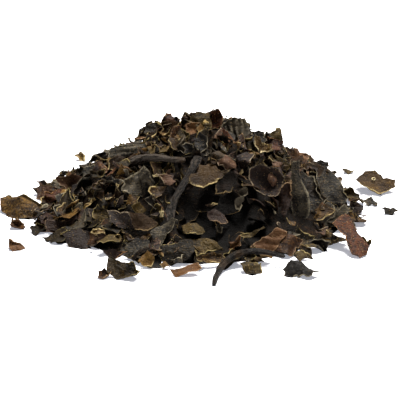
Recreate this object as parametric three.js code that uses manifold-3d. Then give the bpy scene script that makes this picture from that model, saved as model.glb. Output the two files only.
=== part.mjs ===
// A low heap of dried, cut bladderwrack: thin flakes of frond and short pieces of stalk.
// Millimetres and degrees. +X runs along the heap's longest side, +Y to its back, +Z up from the
// surface that it lies on, with the origin at the middle of its flat underside.
import * as THREE from 'three';
import Module from 'manifold-3d';
import { mergeVertices } from 'three/addons/utils/BufferGeometryUtils.js';

const wasm = await Module();
wasm.setup();

// ---- Driving dimensions -------------------------------------------------------------------

const HEAP_RADIUS = 46;
const HEAP_HEIGHT = 26;
const PEAK_ROUNDING = 0.22; // share of the radius over which the peak is rounded off

// The dark hollow in the heap's front, under the flakes that overhang it.
const HOLLOW_MIDDLE = [6, -29];
const HOLLOW_REACH = [13, 7.5]; // from its middle, along X and along Y
const HOLLOW_DEPTH = 4.5;

const CORE_DEPTH = 3.6; // how far the packed inside lies below the heap's outer form
const CORE_RINGS = [0.22, 0.46, 0.72, 0.95]; // its rings, as shares of the heap's radius
const CORE_SIDES = 13;
const CORE_UNEVEN = 0.7; // up and down, on each of its corners
const FOOT_THICKNESS = 0.6; // of its outermost edge

const FLAKE_THICKNESS = 0.7;
const FLAKE_WAVE = [0.35, 0.4]; // smallest wave along a flake's edge, and the most that a draw adds
const JOINT_GAP = 0.35; // clear space between neighbours
const FLOOR_PRESS = 0.12; // flat worn off what lies on the surface, so that it rests on a flat spot
const RINGS = [0.5, 1]; // rings of points between the middle of a flake and its corners
const CURLED_RINGS = [0.36, 0.7, 1];
const CURLED_FROM = 90; // roll and bow together, past which a flake has the finer rings

const PACKED_COUNT = 142;
const PACKED_SKIPPED = [23, 58, 65, 72, 85, 90, 103, 113]; // left out, where the heap draws in or a tall flake shows
const PACKED_STRIDE = 61; // order in which the packed flakes land, so that their layers mix
const PACKED_SPREAD = 46; // radius of the disc that they land on
const PACKED_JITTER = 3.5; // how far each lands off its place in that disc
const PACKED_LENGTH = [7.2, 4.2]; // shortest, and the most that a draw adds
const PACKED_SLENDER = [0.62, 0.34]; // width as a share of the length, in the same way
const PACKED_CORNERS = [5, 5, 6]; // taken in turn
const PACKED_TILT = 52; // most that one leans from the slope below it, well up the heap
const PACKED_LIFT = [0.5, 0.8];
const PACKED_ROLL = [-45, 100];
const PACKED_BOW = [-35, 70];
const LAYER_DEPTH = 3; // how far below the heap's outer form the first of them settle
const ROOT_DEPTH = 1.1; // how far the lowest part of each reaches into the packed inside
const FOOT_HEIGHT = 8; // below this height they lean less and less, down to the surface

const FIELD_HALF = 62; // half the side of the height map, at one cell a millimetre
const GROUND_SAMPLES = 8; // points of the map that give the slope below a piece
const GROUND_REACH = 2; // how far round the middle of a piece they lie
const GOLDEN_ANGLE = 180 * (3 - Math.sqrt(5));

const STALK_SIDES = 7;
const STALK_STEPS = 3; // between two of its points
const STALK_NOSE = 0.3; // how far its ends bulge

// Colour and roughness of each sort of piece.
const TONES = {
  dark: [0x2b2622, 0.62],
  grey: [0x3f3d38, 0.55],
  olive: [0x3d3820, 0.6],
  rust: [0x553320, 0.6],
  maroon: [0x3e241f, 0.58],
  red: [0x5a2a20, 0.6],
  gold: [0x7d5f2a, 0.62],
  stalk: [0x34322e, 0.66],
};

// Flakes on the heap that show whole, a row each: name and tone, the x and y of the middle, how
// steeply the flake stands and the bearing it faces, how far it rolls across and bows along, how
// far it is lifted off what lies below, and its corners, along and up the flake.
const FLAKES = [
  ['wing_left', 'maroon', [-44, 5], [50, -110], [20, -20], 1,
    [[-2.5, -1.5], [0, -3], [4, 0.5], [2, 1.5], [-3, 2]]],
  ['red_left', 'red', [-41, -1], [55, -80], [20, 30], 1.6,
    [[-2.5, -2], [-0.5, -2], [3, -0.5], [2.5, 2.5], [0, 1.5], [-3, 1]]],
  ['stand_left', 'maroon', [-36, 1.5], [60, -95], [0, -30], 2.2,
    [[-3, -1.5], [-0.5, -2.5], [3.5, -1.5], [3.5, 1], [0.5, 2.5], [-1.5, 1.5], [-3, 1]]],
  ['strip_left', 'rust', [-36.5, -20.5], [45, -100], [20, 0], 1,
    [[-4.5, -2.5], [0.5, -2.5], [3.5, 0], [4.5, 3.5], [0.5, 1], [-4.5, 0.5]]],
  ['mauve_left', 'maroon', [-31.5, -29], [48, -85], [-15, 10], 1,
    [[-2.5, -2.5], [0.5, -4], [3, -3], [3, 0], [2.5, 2.5], [0, 3.5], [-2.5, 2.5], [-4.5, 1]]],
  ['fold_left', 'olive', [-37.5, -26.5], [40, -110], [60, 0], 0.5,
    [[-1.5, -2.5], [2, -2.5], [3, 0], [2, 2.5], [-0.5, 1.5], [-4.5, 0]]],
  ['grey_shoulder', 'grey', [-20, -2], [42, -100], [-30, -15], 2,
    [[-6, -0.5], [-4.5, -2], [0.5, -1.5], [6, -1], [5.5, 1.5], [3.5, 3], [0, 1.5], [-5, 1]]],
  ['cup_left', 'grey', [-16, -19], [58, -95], [-55, -45], 1.8,
    [[-4.5, -1.5], [-1, -3], [1.5, -4], [3, -3], [4, 0.5], [2.5, 3], [1, 4.5], [-1.5, 3],
      [-4.5, 1]]],
  ['brown_mid', 'gold', [1.5, -21.5], [50, -85], [30, 20], 1.4,
    [[-5, -1.5], [-3.5, -3], [-1, -3.5], [2, -2.5], [4.5, -1], [6.5, 2], [4.5, 1.5], [0.5, 4],
      [-2, 3.5], [-2.5, 1], [-4, 0.5]]],
  ['mauve_mid', 'maroon', [7, -16.5], [55, -90], [-30, -20], 1.4,
    [[-2.5, -1], [0.5, -2], [2.5, -1], [2.5, 1], [-0.5, 2], [-2.5, 0.5]]],
  ['cup_right', 'dark', [17.5, -18], [62, -85], [110, 70], 2.4,
    [[-4.5, 0.5], [-4, -2.5], [-1.5, -5], [3, -6], [4.5, -3], [5.5, 0.5], [4, 3], [1, 5],
      [-2, 4.5], [-4, 3.5]]],
  ['tall_fold', 'grey', [26.5, -20], [66, -75], [10, -95], 3.2,
    [[-3, 4.5], [-2.5, -1.5], [-1.5, -6], [1.5, -8.5], [4, -9], [3.5, -5], [2, 0.5], [0.5, 5],
      [0, 10.5], [-2.5, 10.5]]],
  ['side_fold', 'rust', [22.5, -21.5], [64, -100], [0, -70], 2.6,
    [[-2, 2], [-2, -2], [-0.5, -5], [1, -2.5], [2, 1], [1.5, 6]]],
  ['rough_right', 'grey', [29.5, -13], [50, -70], [-10, 20], 2.2,
    [[-2.5, 0], [-1.5, -5], [0.5, -5.5], [3.5, -2.5], [2.5, 2], [0.5, 5], [-2.5, 6]]],
  ['broad_right', 'grey', [36, -5], [42, -75], [-15, -25], 2.4,
    [[-4, -1], [-2, -4], [1, -4.5], [4, -4], [5.5, -2], [2.5, 2], [1, 5], [-2, 5.5], [-5, 3]]],
  ['roll_right', 'olive', [43, 1.5], [45, -60], [80, -20], 1.4,
    [[-1.5, -0.5], [2, -3.5], [3, -1.5], [2, 1], [-1, 3], [-4.5, 2]]],
  ['gold_right', 'gold', [33, -19], [50, -80], [30, 0], 2,
    [[-2.5, 1], [-2.5, -1.5], [-0.5, -3], [1.5, -1], [3.5, 1], [0.5, 3.5]]],
  ['lip_right', 'grey', [37, -17.5], [50, -100], [60, 0], 1,
    [[-1.5, -2.5], [0, -1.5], [3.5, 2], [2, 3.5], [-0.5, 2], [-4, -2]]],
  ['quad_front', 'rust', [18, -35.5], [48, -95], [-12, 0], 1.2,
    [[-1.5, -2.5], [1.5, -2.5], [4.5, 2.5], [2, 3.5], [-2, 1], [-5, -1.5]]],
  ['red_front', 'rust', [23.5, -35], [45, -80], [25, -20], 1.2,
    [[-4, -2], [-1, -4], [2.5, -1], [3.5, 1.5], [1, 2.5], [-2, 3]]],
  ['fold_front', 'grey', [30.5, -32.5], [45, -85], [70, 0], 1,
    [[-2.5, -1], [0, -2], [2.5, -1.5], [3.5, 1], [0, 2.5], [-3, 1]]],
  ['olive_front', 'olive', [-5.5, -41], [50, -90], [-20, -20], 1.2,
    [[-4.5, -2.5], [-2, -4], [1.5, -3], [3, -1.5], [4, 0.5], [3.5, 3.5], [0.5, 3.5], [-2, 2],
      [-5, 1.5]]],
  ['ridge_front', 'olive', [1.5, -39], [42, -90], [-25, 0], 1,
    [[-2.5, -3], [0.5, -2], [4.5, -1], [2.5, 1.5], [-0.5, 2.5], [-4.5, 2.5]]],
  ['arch_front', 'grey', [-9, -34.5], [50, -110], [-90, 0], 1.7,
    [[-1.5, -3.5], [-0.5, -2.5], [2, 0], [4, 2], [1.5, 3.5], [-1.5, 2], [-4, 0]]],
  ['slab_front', 'grey', [-17, -38], [45, -95], [-15, 0], 1,
    [[-4, -1], [-0.5, -2.5], [3.5, -1], [4, 2], [0.5, 3]]],
  ['spiky_top', 'olive', [-12, 5], [55, -110], [20, -20], 2.2,
    [[-3, -2], [-0.5, -1.5], [3.5, -2], [3, 0.5], [0, 2], [-3, 1.5]]],
  ['curl_peak', 'red', [4.5, 4], [72, -80], [20, 90], 2.2,
    [[-2.5, 0], [-1, -3], [2, -3], [2.5, 0], [0.5, 3], [-2, 2.5]]],
  ['dark_peak', 'olive', [0, 2.5], [66, -95], [0, 30], 1.2,
    [[-3.5, -0.5], [-0.5, -2.5], [3, -2], [2.5, 2], [-1, 3]]],
  ['ribbed_roll', 'grey', [11, 0.5], [60, -80], [-10, -110], 3.2,
    [[-5.5, 0.5], [-1.5, -3.5], [1.5, -3.5], [3, -1.5], [3, 1], [1.5, 2.5], [-2, 2.5]]],
  ['vee_right', 'gold', [17, -3], [50, -85], [0, 80], 2.4,
    [[-3, 0], [-1.5, -2], [2, -2], [3.5, 0], [1.5, 0.5], [-1, 2.5], [-2.5, 2.5]]],
  ['ledge_right', 'rust', [27.5, 7], [45, -70], [15, 0], 2.8,
    [[-2.5, -3], [2.5, -2.5], [4, 1], [0, 2], [-4, 2]]],
  ['back_fan', 'grey', [8, 18], [52, 80], [-30, 20], 1.4,
    [[-5, -2], [-1, -4], [3, -3.5], [5, 0], [3.5, 3], [-0.5, 4], [-4, 2.5]]],
  ['back_cup', 'olive', [-14, 24], [50, 110], [70, 40], 1.8,
    [[-4, -1.5], [-1, -3.5], [3, -3.5], [4.5, 0], [3, 3.5], [-1, 4], [-4, 2]]],
  ['back_strap', 'rust', [24, 28], [44, 60], [-20, -50], 1.4,
    [[-6, -1.5], [-2, -2.5], [3, -2], [6, 0], [5, 2], [0, 2.5], [-5, 1.5]]],
  ['back_shield', 'maroon', [-2, 36], [42, 95], [-15, 15], 1.2,
    [[-3.5, -2], [0, -4], [3.5, -2], [4, 1.5], [1, 4], [-3, 3]]],
  ['back_roll', 'grey', [-30, 20], [46, 140], [90, -20], 1.2,
    [[-4, -1], [-1, -3], [3, -2.5], [4.5, 1], [1, 3], [-3, 2.5]]],
  ['back_slab', 'gold', [36, 16], [40, 30], [20, 10], 1,
    [[-3, -2], [1, -3.5], [4, -1], [3, 2.5], [-1, 3], [-4, 1]]],
];

// Flakes that lie by themselves on the surface round the heap, in the same columns.
const LOOSE = [
  ['far_left', 'gold', [-49.5, -6.5], [24, -100], [12, 24], 0,
    [[-6, 3.5], [-5, -1], [-3, -3], [-0.5, -4.5], [2.5, -6], [5.5, -3], [6, 0.5], [3.5, 2.5],
      [0.5, 3.5], [-4, 6]]],
  ['far_right', 'rust', [50.5, 12], [22, -95], [25, 12], 0,
    [[-6, 1.5], [-4.5, -3.5], [1, -6], [5, -2.5], [5.5, 0], [2, 2], [0, 4], [-3, 4.5]]],
  ['strap_right', 'rust', [39.5, -33], [34, -75], [-25, -50], 0,
    [[-5, 4], [-2.5, 0], [-1.5, -3], [-0.5, -5.5], [1.5, -6.5], [3.5, -5], [4.5, -2], [3, -0.5],
      [1.5, 1.5], [0, 7], [-1.5, 8]]],
  ['lobes_front', 'grey', [25, -48.5], [22, -90], [-20, 30], 0,
    [[-4, 0.5], [-3, -3], [-0.5, -2], [2, -3], [4.5, -1], [3, 1], [2, 3], [-0.5, 2], [-2.5, 2.5]]],
  ['chip_stalk', 'olive', [13, -46.5], [24, -90], [20, 20], 0,
    [[-2.5, -1], [0, -3], [2.5, -1], [2.5, 1.5], [-1, 2], [-3, 1]]],
  ['pair_front', 'olive', [-19, -49.5], [20, -90], [-25, -30], 0,
    [[-4, -0.5], [-2, -2.5], [3.5, -2.5], [4.5, -1], [2.5, 2], [-1.5, 2], [-3.5, 3]]],
  ['pair_small', 'rust', [-24, -50], [12, -90], [30, 0], 0,
    [[-1.5, -1], [1, -1.5], [2, 0], [0, 2], [-1.5, 1]]],
  ['bud_left', 'olive', [-43, -20], [20, -110], [110, 60], 0,
    [[-2.5, -0.5], [-0.5, -2.5], [2, -2], [3, -0.5], [1.5, 2], [-0.5, 2.5], [-2.5, 1]]],
  ['crumb_left', 'rust', [-49.5, -17], [24, -80], [50, 0], 0,
    [[-2, -0.5], [-1.5, -2], [2.5, -1.5], [2, 0.5], [0.5, 1.5], [-1.5, 2]]],
  ['crumb_front', 'rust', [-48.5, -31.5], [24, -90], [30, 0], 0,
    [[-1.5, -0.5], [0, -2.5], [3, -0.5], [0.5, 2], [-1.5, 2.5]]],
  ['curl_behind', 'gold', [-36, 38], [36, -80], [120, 60], 0,
    [[-2.5, 0.5], [-1, -1.5], [1.5, -2], [1.5, 0.5], [0, 2]]],
  ['bead_right', 'grey', [48, 0], [28, -90], [100, 50], 0,
    [[-2.5, 0.5], [-1, -1.5], [1.5, -1.5], [2, 0], [0, 2]]],
  ['chip_right', 'maroon', [42, -9], [20, -90], [20, 0], 0,
    [[-2, 1], [-1.5, -1], [0.5, -2], [3, 0], [0, 1.5]]],
  ['chip_behind', 'rust', [22, 47], [12, 70], [25, 20], 0,
    [[-3, -1.5], [1, -2.5], [3.5, 0], [1, 2.5], [-2.5, 2]]],
  ['leaf_behind', 'grey', [-9, 48.5], [14, 100], [-25, 25], 0,
    [[-4, -1], [-1, -3], [3, -2], [4.5, 1], [1, 2.5], [-3, 2]]],
];

// Stalk pieces: name and tone, then points along each with x, y, height, width and thickness.
// The first is lifted off the surface that the heap lies on, the others off the heap itself.
const FLOOR_STALKS = [
  ['stalk_curved', 'stalk', [
    [3.4, -55.5, 0.4, 1.1, 1], [3.8, -52, 0.5, 1.3, 1.2], [4.4, -49, 0.7, 1.5, 1.4],
    [5.8, -46, 1.8, 1.6, 1.5], [8.2, -43.9, 3.1, 1.7, 1.6], [11, -42.8, 3.8, 1.6, 1.5],
    [14.3, -42.4, 3.9, 1.7, 1.5], [17.8, -42.5, 3.4, 1.4, 1.3], [21.6, -43, 2.7, 1, 0.9]]],
];
const HEAP_STALKS = [
  ['stalk_pale', 'stalk', [
    [-18.5, -9.5, 1.9, 2.4, 2], [-14.5, -12, 2.3, 2.2, 2], [-10.5, -14.5, 2.7, 2, 1.9],
    [-7, -15.5, 2.4, 1.8, 1.6], [-3.8, -16, 1.9, 1.4, 1.3]]],
  ['stalk_forked', 'stalk', [
    [-0.3, -15.5, 2.2, 2.6, 0.9], [-2.6, -19.5, 2, 1.8, 1.2], [-4.8, -23, 1.8, 1.9, 1.4],
    [-6.8, -26.6, 1.6, 2.3, 1.5], [-8, -30.2, 1.3, 2.7, 1.6], [-7.9, -33.4, 0.9, 2.4, 1.3]]],
  ['stem_upright', 'olive', [
    [-8, -11, 2, 0.9, 0.9], [-7.6, -13, 0.9, 1, 0.9], [-7.4, -15, -0.5, 1, 0.9],
    [-7, -17.2, -0.7, 1, 0.9], [-6.2, -20.5, 0.3, 1, 0.9]]],
  ['stalk_butt', 'dark', [
    [-12.8, -39.2, 1.6, 1.8, 1.5], [-15, -40.4, 1.2, 2.1, 1.6], [-17.4, -41.6, 0.8, 1.6, 1.3]]],
  ['stalk_back', 'stalk', [
    [30, 12, 1.2, 1.3, 1.2], [26, 17, 1.4, 1.6, 1.4], [20.5, 21, 1.5, 1.7, 1.5],
    [14, 23.5, 1.5, 1.6, 1.4], [8, 26.5, 1.3, 1.1, 1]]],
  ['stalk_side', 'stalk', [
    [-22, 13, 0.8, 1.2, 1.1], [-24.5, 20, 1.4, 1.5, 1.3], [-24, 27, 1.4, 1.6, 1.4],
    [-20.5, 32.5, 1, 1.1, 1]]],
];

// ---- Small maths --------------------------------------------------------------------------

const radians = THREE.MathUtils.degToRad;

// A number from 0 to 1 that depends only on the piece's number and what it is drawn for.
function draw(piece, purpose) {
  const value = Math.sin(piece * 12.9898 + purpose * 78.233) * 43758.5453;
  return value - Math.floor(value);
}

// The same, spread from the first value of a pair by up to the second.
function drawFrom([least, more], piece, purpose) {
  return least + more * draw(piece, purpose);
}

// Height of the heap's outer form: a cone with a rounded peak.
function moundHeight(x, y) {
  const share = Math.hypot(x, y) / HEAP_RADIUS;
  const foot = Math.sqrt(1 + PEAK_ROUNDING ** 2);
  const fall = foot - Math.sqrt(share ** 2 + PEAK_ROUNDING ** 2);
  return Math.max(0, (fall * HEAP_HEIGHT) / (foot - PEAK_ROUNDING));
}

// How far the hollow lies below the rest at a place: a bell over its oval.
function hollowDepth(x, y) {
  const dx = (x - HOLLOW_MIDDLE[0]) / HOLLOW_REACH[0];
  const dy = (y - HOLLOW_MIDDLE[1]) / HOLLOW_REACH[1];
  return HOLLOW_DEPTH * Math.exp(-(dx ** 2) - dy ** 2);
}

// Bends a strip: a point at length u, raised by w, on an arc of the given curvature.
function bend(u, w, curvature) {
  if (Math.abs(curvature) < 1e-5) {
    return [u, w];
  }
  const radius = 1 / curvature;
  return [(radius - w) * Math.sin(u * curvature), radius - (radius - w) * Math.cos(u * curvature)];
}

// ---- The height map that pieces settle on -------------------------------------------------

const FIELD_SIDE = 2 * FIELD_HALF + 1;
const field = new Float64Array(FIELD_SIDE * FIELD_SIDE);
for (let row = 0; row < FIELD_SIDE; row += 1) {
  for (let column = 0; column < FIELD_SIDE; column += 1) {
    const height = moundHeight(column - FIELD_HALF, row - FIELD_HALF) - LAYER_DEPTH;
    field[row * FIELD_SIDE + column] = Math.max(0, height);
  }
}

function cellAt(x, y) {
  const column = THREE.MathUtils.clamp(Math.round(x) + FIELD_HALF, 0, FIELD_SIDE - 1);
  const row = THREE.MathUtils.clamp(Math.round(y) + FIELD_HALF, 0, FIELD_SIDE - 1);
  return row * FIELD_SIDE + column;
}

// Mean height and slopes under a round footprint, from points on its rim.
function groundUnder(x, y, reach) {
  let total = 0;
  let slopeX = 0;
  let slopeY = 0;
  for (let k = 0; k < GROUND_SAMPLES; k += 1) {
    const dx = reach * Math.cos((2 * Math.PI * k) / GROUND_SAMPLES);
    const dy = reach * Math.sin((2 * Math.PI * k) / GROUND_SAMPLES);
    const height = field[cellAt(x + dx, y + dy)];
    total += height;
    slopeX += height * dx;
    slopeY += height * dy;
  }
  const spread = (GROUND_SAMPLES / 2) * reach ** 2;
  return { height: total / GROUND_SAMPLES, slopeX: slopeX / spread, slopeY: slopeY / spread };
}

// Raises the map to the top of a flake, over its oval footprint.
function cover({ at, along, up, out, length, width, rollRate, bowRate }) {
  const reach = Math.ceil(Math.max(length, width) / 2);
  for (let dy = -reach; dy <= reach; dy += 1) {
    for (let dx = -reach; dx <= reach; dx += 1) {
      const x = Math.round(at.x) + dx;
      const y = Math.round(at.y) + dy;
      const offset = new THREE.Vector3(x - at.x, y - at.y, 0);
      offset.z = -(out.x * offset.x + out.y * offset.y) / out.z;
      const p = offset.dot(along);
      const q = offset.dot(up);
      if (((2 * p) / length) ** 2 + ((2 * q) / width) ** 2 < 1) {
        const curl = ((rollRate * q * q + bowRate * p * p) / 2) * out.z;
        const top = at.z + offset.z + curl + FLAKE_THICKNESS / 2;
        field[cellAt(x, y)] = Math.max(field[cellAt(x, y)], top);
      }
    }
  }
}

// ---- Flakes -------------------------------------------------------------------------------

// A flake's own axes: out is square to its face, and along runs level, towards +X, until it is
// spun about out.
function makeFlake(corners, at, out, { spin = 0, roll, bow, seed }) {
  const level = new THREE.Vector3(1, 0, 0).addScaledVector(out, -out.x).normalize();
  const along = level.clone().applyAxisAngle(out, radians(spin));
  const up = new THREE.Vector3().crossVectors(out, along);
  const length = 2 * Math.max(...corners.map(([p]) => Math.abs(p)));
  const width = 2 * Math.max(...corners.map(([, q]) => Math.abs(q)));
  return {
    corners,
    at,
    out,
    along,
    up,
    length,
    width,
    rollRate: radians(roll) / width,
    bowRate: radians(bow) / length,
    wave: drawFrom(FLAKE_WAVE, seed, 21),
    phase: 2 * Math.PI * draw(seed, 22),
  };
}

// Where a point of the flat flake lies once it is waved, rolled, bowed and set in its place.
function flakePoint(flake, p, q, w) {
  const edge = (2 * q) / flake.width;
  const lifted = w + flake.wave * edge * Math.sin((5 * p) / flake.length + flake.phase);
  const [across, rise] = bend(q, lifted, flake.rollRate);
  const [forward, height] = bend(p, rise, flake.bowRate);
  return flake.at.clone()
    .addScaledVector(flake.along, forward)
    .addScaledVector(flake.up, across)
    .addScaledVector(flake.out, height);
}

// The closed solid of a flake: a middle point and rings out to the corners, split alike on both
// faces and joined by a rim. The room that it needs is larger by extra all round.
function flakeMesh(flake, rings, extra = 0) {
  const sides = flake.corners.length;
  const half = FLAKE_THICKNESS / 2 + extra;
  const growP = 1 + (2 * extra) / flake.length;
  const growQ = 1 + (2 * extra) / flake.width;
  const points = [];
  for (const w of [half, -half]) {
    points.push(flakePoint(flake, 0, 0, w));
    for (const ring of rings) {
      for (const [p, q] of flake.corners) {
        points.push(flakePoint(flake, p * ring * growP, q * ring * growQ, w));
      }
    }
  }
  const under = 1 + rings.length * sides;
  const rim = under - sides;
  const triangles = [];
  for (let k = 0; k < sides; k += 1) {
    const next = (k + 1) % sides;
    triangles.push([0, 1 + k, 1 + next], [under, under + 1 + next, under + 1 + k]);
    for (let inner = 1; inner < rim; inner += sides) {
      const outer = inner + sides;
      triangles.push([inner + k, outer + k, outer + next], [inner + k, outer + next, inner + next]);
      triangles.push([under + inner + k, under + outer + next, under + outer + k]);
      triangles.push([under + inner + k, under + inner + next, under + outer + next]);
    }
    triangles.push([rim + k, under + rim + k, under + rim + next]);
    triangles.push([rim + k, under + rim + next, rim + next]);
  }
  return { points, triangles };
}

function lowestPoint(flake) {
  return Math.min(...flakeMesh(flake, RINGS).points.map((point) => point.z));
}

// One of the packed flakes: it lands on a spiral that fills the disc, settles on the slope that
// the earlier ones left, leans, and is sunk until it roots in the packed inside.
function packedFlake(order) {
  const place = (order * PACKED_STRIDE) % PACKED_COUNT;
  const radius = PACKED_SPREAD * Math.sqrt((place + 0.5) / PACKED_COUNT);
  const angle = radians(place * GOLDEN_ANGLE);
  const x = radius * Math.cos(angle) + PACKED_JITTER * (draw(order, 11) - 0.5);
  const y = radius * Math.sin(angle) + PACKED_JITTER * (draw(order, 12) - 0.5);
  const length = drawFrom(PACKED_LENGTH, order, 1);
  const width = length * drawFrom(PACKED_SLENDER, order, 2);
  const count = PACKED_CORNERS[order % PACKED_CORNERS.length];
  const corners = [];
  for (let k = 0; k < count; k += 1) {
    const bearing = (2 * Math.PI * (k + 0.7 * draw(10 * order + k, 3))) / count;
    const reach = 0.68 + 0.32 * draw(10 * order + k, 4);
    corners.push([(length / 2) * reach * Math.cos(bearing), (width / 2) * reach * Math.sin(bearing)]);
  }
  const ground = groundUnder(x, y, 0.3 * length);
  const freedom = Math.min(1, (ground.height + 1.5) / FOOT_HEIGHT);
  const lean = Math.tan(radians(PACKED_TILT * freedom * Math.sqrt(draw(order, 5))));
  const heading = 2 * Math.PI * draw(order, 6);
  const out = new THREE.Vector3(
    lean * Math.cos(heading) - ground.slopeX,
    lean * Math.sin(heading) - ground.slopeY,
    1,
  ).normalize();
  const at = new THREE.Vector3(x, y, ground.height + drawFrom(PACKED_LIFT, order, 9));
  const flake = makeFlake(corners, at, out, {
    spin: 360 * draw(order, 10),
    roll: drawFrom(PACKED_ROLL, order, 7),
    bow: drawFrom(PACKED_BOW, order, 8),
    seed: order,
  });
  const clearances = flakeMesh(flake, RINGS).points.map(
    (point) => point.z - (moundHeight(point.x, point.y) - CORE_DEPTH - ROOT_DEPTH),
  );
  flake.at.z -= Math.max(0, Math.min(...clearances));
  flake.at.z += Math.max(0, -lowestPoint(flake) - FLOOR_PRESS);
  return flake;
}

// A flake from a row of the tables, set on the heap or laid on the surface beside it.
function rowFlake([, , [x, y], [steep, facing], [roll, bow], lift, corners], seed, besideHeap) {
  const out = new THREE.Vector3(
    Math.sin(radians(steep)) * Math.cos(radians(facing)),
    Math.sin(radians(steep)) * Math.sin(radians(facing)),
    Math.cos(radians(steep)),
  );
  const height = besideHeap ? 0 : groundUnder(x, y, GROUND_REACH).height + lift;
  const flake = makeFlake(corners, new THREE.Vector3(x, y, height), out, { roll, bow, seed });
  if (besideHeap) {
    flake.at.z = -lowestPoint(flake) - FLOOR_PRESS;
  }
  return flake;
}

// ---- Stalks, the packed inside and the surface ----------------------------------------------

// The closed solid of a stalk: an oval tube through its points, with blunt ends.
function stalkMesh(rows, onHeap, extra = 0) {
  const nodes = rows.map(([x, y, lift]) => {
    const ground = onHeap ? groundUnder(x, y, GROUND_REACH).height : 0;
    return new THREE.Vector3(x, y, ground + lift);
  });
  const curve = new THREE.CatmullRomCurve3(nodes);
  const steps = STALK_STEPS * (rows.length - 1);
  const points = [];
  for (let step = 0; step <= steps; step += 1) {
    const before = rows[Math.floor(step / STALK_STEPS)];
    const after = rows[Math.min(Math.floor(step / STALK_STEPS) + 1, rows.length - 1)];
    const mix = (step % STALK_STEPS) / STALK_STEPS;
    const width = THREE.MathUtils.lerp(before[3], after[3], mix) / 2 + extra;
    const depth = THREE.MathUtils.lerp(before[4], after[4], mix) / 2 + extra;
    const middle = curve.getPoint(step / steps);
    const tangent = curve.getTangent(step / steps);
    const across = new THREE.Vector3(0, 0, 1).cross(tangent).normalize();
    const over = new THREE.Vector3().crossVectors(tangent, across);
    for (let k = 0; k < STALK_SIDES; k += 1) {
      const angle = (2 * Math.PI * k) / STALK_SIDES;
      points.push(middle.clone()
        .addScaledVector(across, width * Math.cos(angle))
        .addScaledVector(over, depth * Math.sin(angle)));
    }
  }
  const nose = STALK_NOSE + extra;
  points.push(curve.getPoint(0).addScaledVector(curve.getTangent(0), -nose));
  points.push(curve.getPoint(1).addScaledVector(curve.getTangent(1), nose));
  const end = steps * STALK_SIDES;
  const triangles = [];
  for (let k = 0; k < STALK_SIDES; k += 1) {
    const next = (k + 1) % STALK_SIDES;
    for (let near = 0; near < end; near += STALK_SIDES) {
      const far = near + STALK_SIDES;
      triangles.push([near + k, near + next, far + next], [near + k, far + next, far + k]);
    }
    triangles.push([points.length - 2, next, k], [points.length - 1, end + k, end + next]);
  }
  return { points, triangles };
}

// The packed inside: rings of uneven corners that follow the heap's form from below, closed by
// a flat base.
function coreMesh() {
  const points = [new THREE.Vector3(0, 0, moundHeight(0, 0) - CORE_DEPTH)];
  CORE_RINGS.forEach((share, ring) => {
    for (let k = 0; k < CORE_SIDES; k += 1) {
      const seed = k + ring * CORE_SIDES;
      const angle = (2 * Math.PI * (k + ring / 2)) / CORE_SIDES;
      const radius = HEAP_RADIUS * share * (0.96 + 0.08 * draw(seed, 31));
      const x = radius * Math.cos(angle);
      const y = radius * Math.sin(angle);
      const level = moundHeight(x, y) - CORE_DEPTH - hollowDepth(x, y);
      const height = level + CORE_UNEVEN * (2 * draw(seed, 32) - 1);
      points.push(new THREE.Vector3(x, y, Math.max(FOOT_THICKNESS, height)));
    }
  });
  const rim = points.length - CORE_SIDES;
  const base = points.length;
  for (let k = 0; k < CORE_SIDES; k += 1) {
    points.push(points[rim + k].clone().setZ(0));
  }
  points.push(new THREE.Vector3(0, 0, 0));
  const triangles = [];
  for (let k = 0; k < CORE_SIDES; k += 1) {
    const next = (k + 1) % CORE_SIDES;
    triangles.push([0, 1 + k, 1 + next]);
    for (let inner = 1; inner <= rim; inner += CORE_SIDES) {
      const outer = inner + CORE_SIDES;
      triangles.push([inner + k, outer + k, outer + next], [inner + k, outer + next, inner + next]);
    }
    triangles.push([points.length - 1, base + next, base + k]);
  }
  return { points, triangles };
}

// A block that reaches from the surface down, to cut off level what would lie below it.
function blockBelow() {
  const geometry = new THREE.BoxGeometry(4 * FIELD_HALF, 4 * FIELD_HALF, FIELD_HALF);
  geometry.translate(0, 0, -FIELD_HALF / 2);
  geometry.deleteAttribute('normal');
  geometry.deleteAttribute('uv');
  const merged = mergeVertices(geometry);
  const places = merged.getAttribute('position');
  const corners = merged.getIndex();
  const points = Array.from({ length: places.count }, (_, k) => (
    new THREE.Vector3().fromBufferAttribute(places, k)
  ));
  const triangles = Array.from({ length: corners.count / 3 }, (_, k) => (
    [corners.getX(3 * k), corners.getX(3 * k + 1), corners.getX(3 * k + 2)]
  ));
  return { points, triangles };
}

// ---- Joining and cutting --------------------------------------------------------------------

function solidOf({ points, triangles }) {
  return new wasm.Manifold(new wasm.Mesh({
    numProp: 3,
    vertProperties: new Float32Array(points.flatMap((point) => point.toArray())),
    triVerts: new Uint32Array(triangles.flat()),
  }));
}

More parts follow.
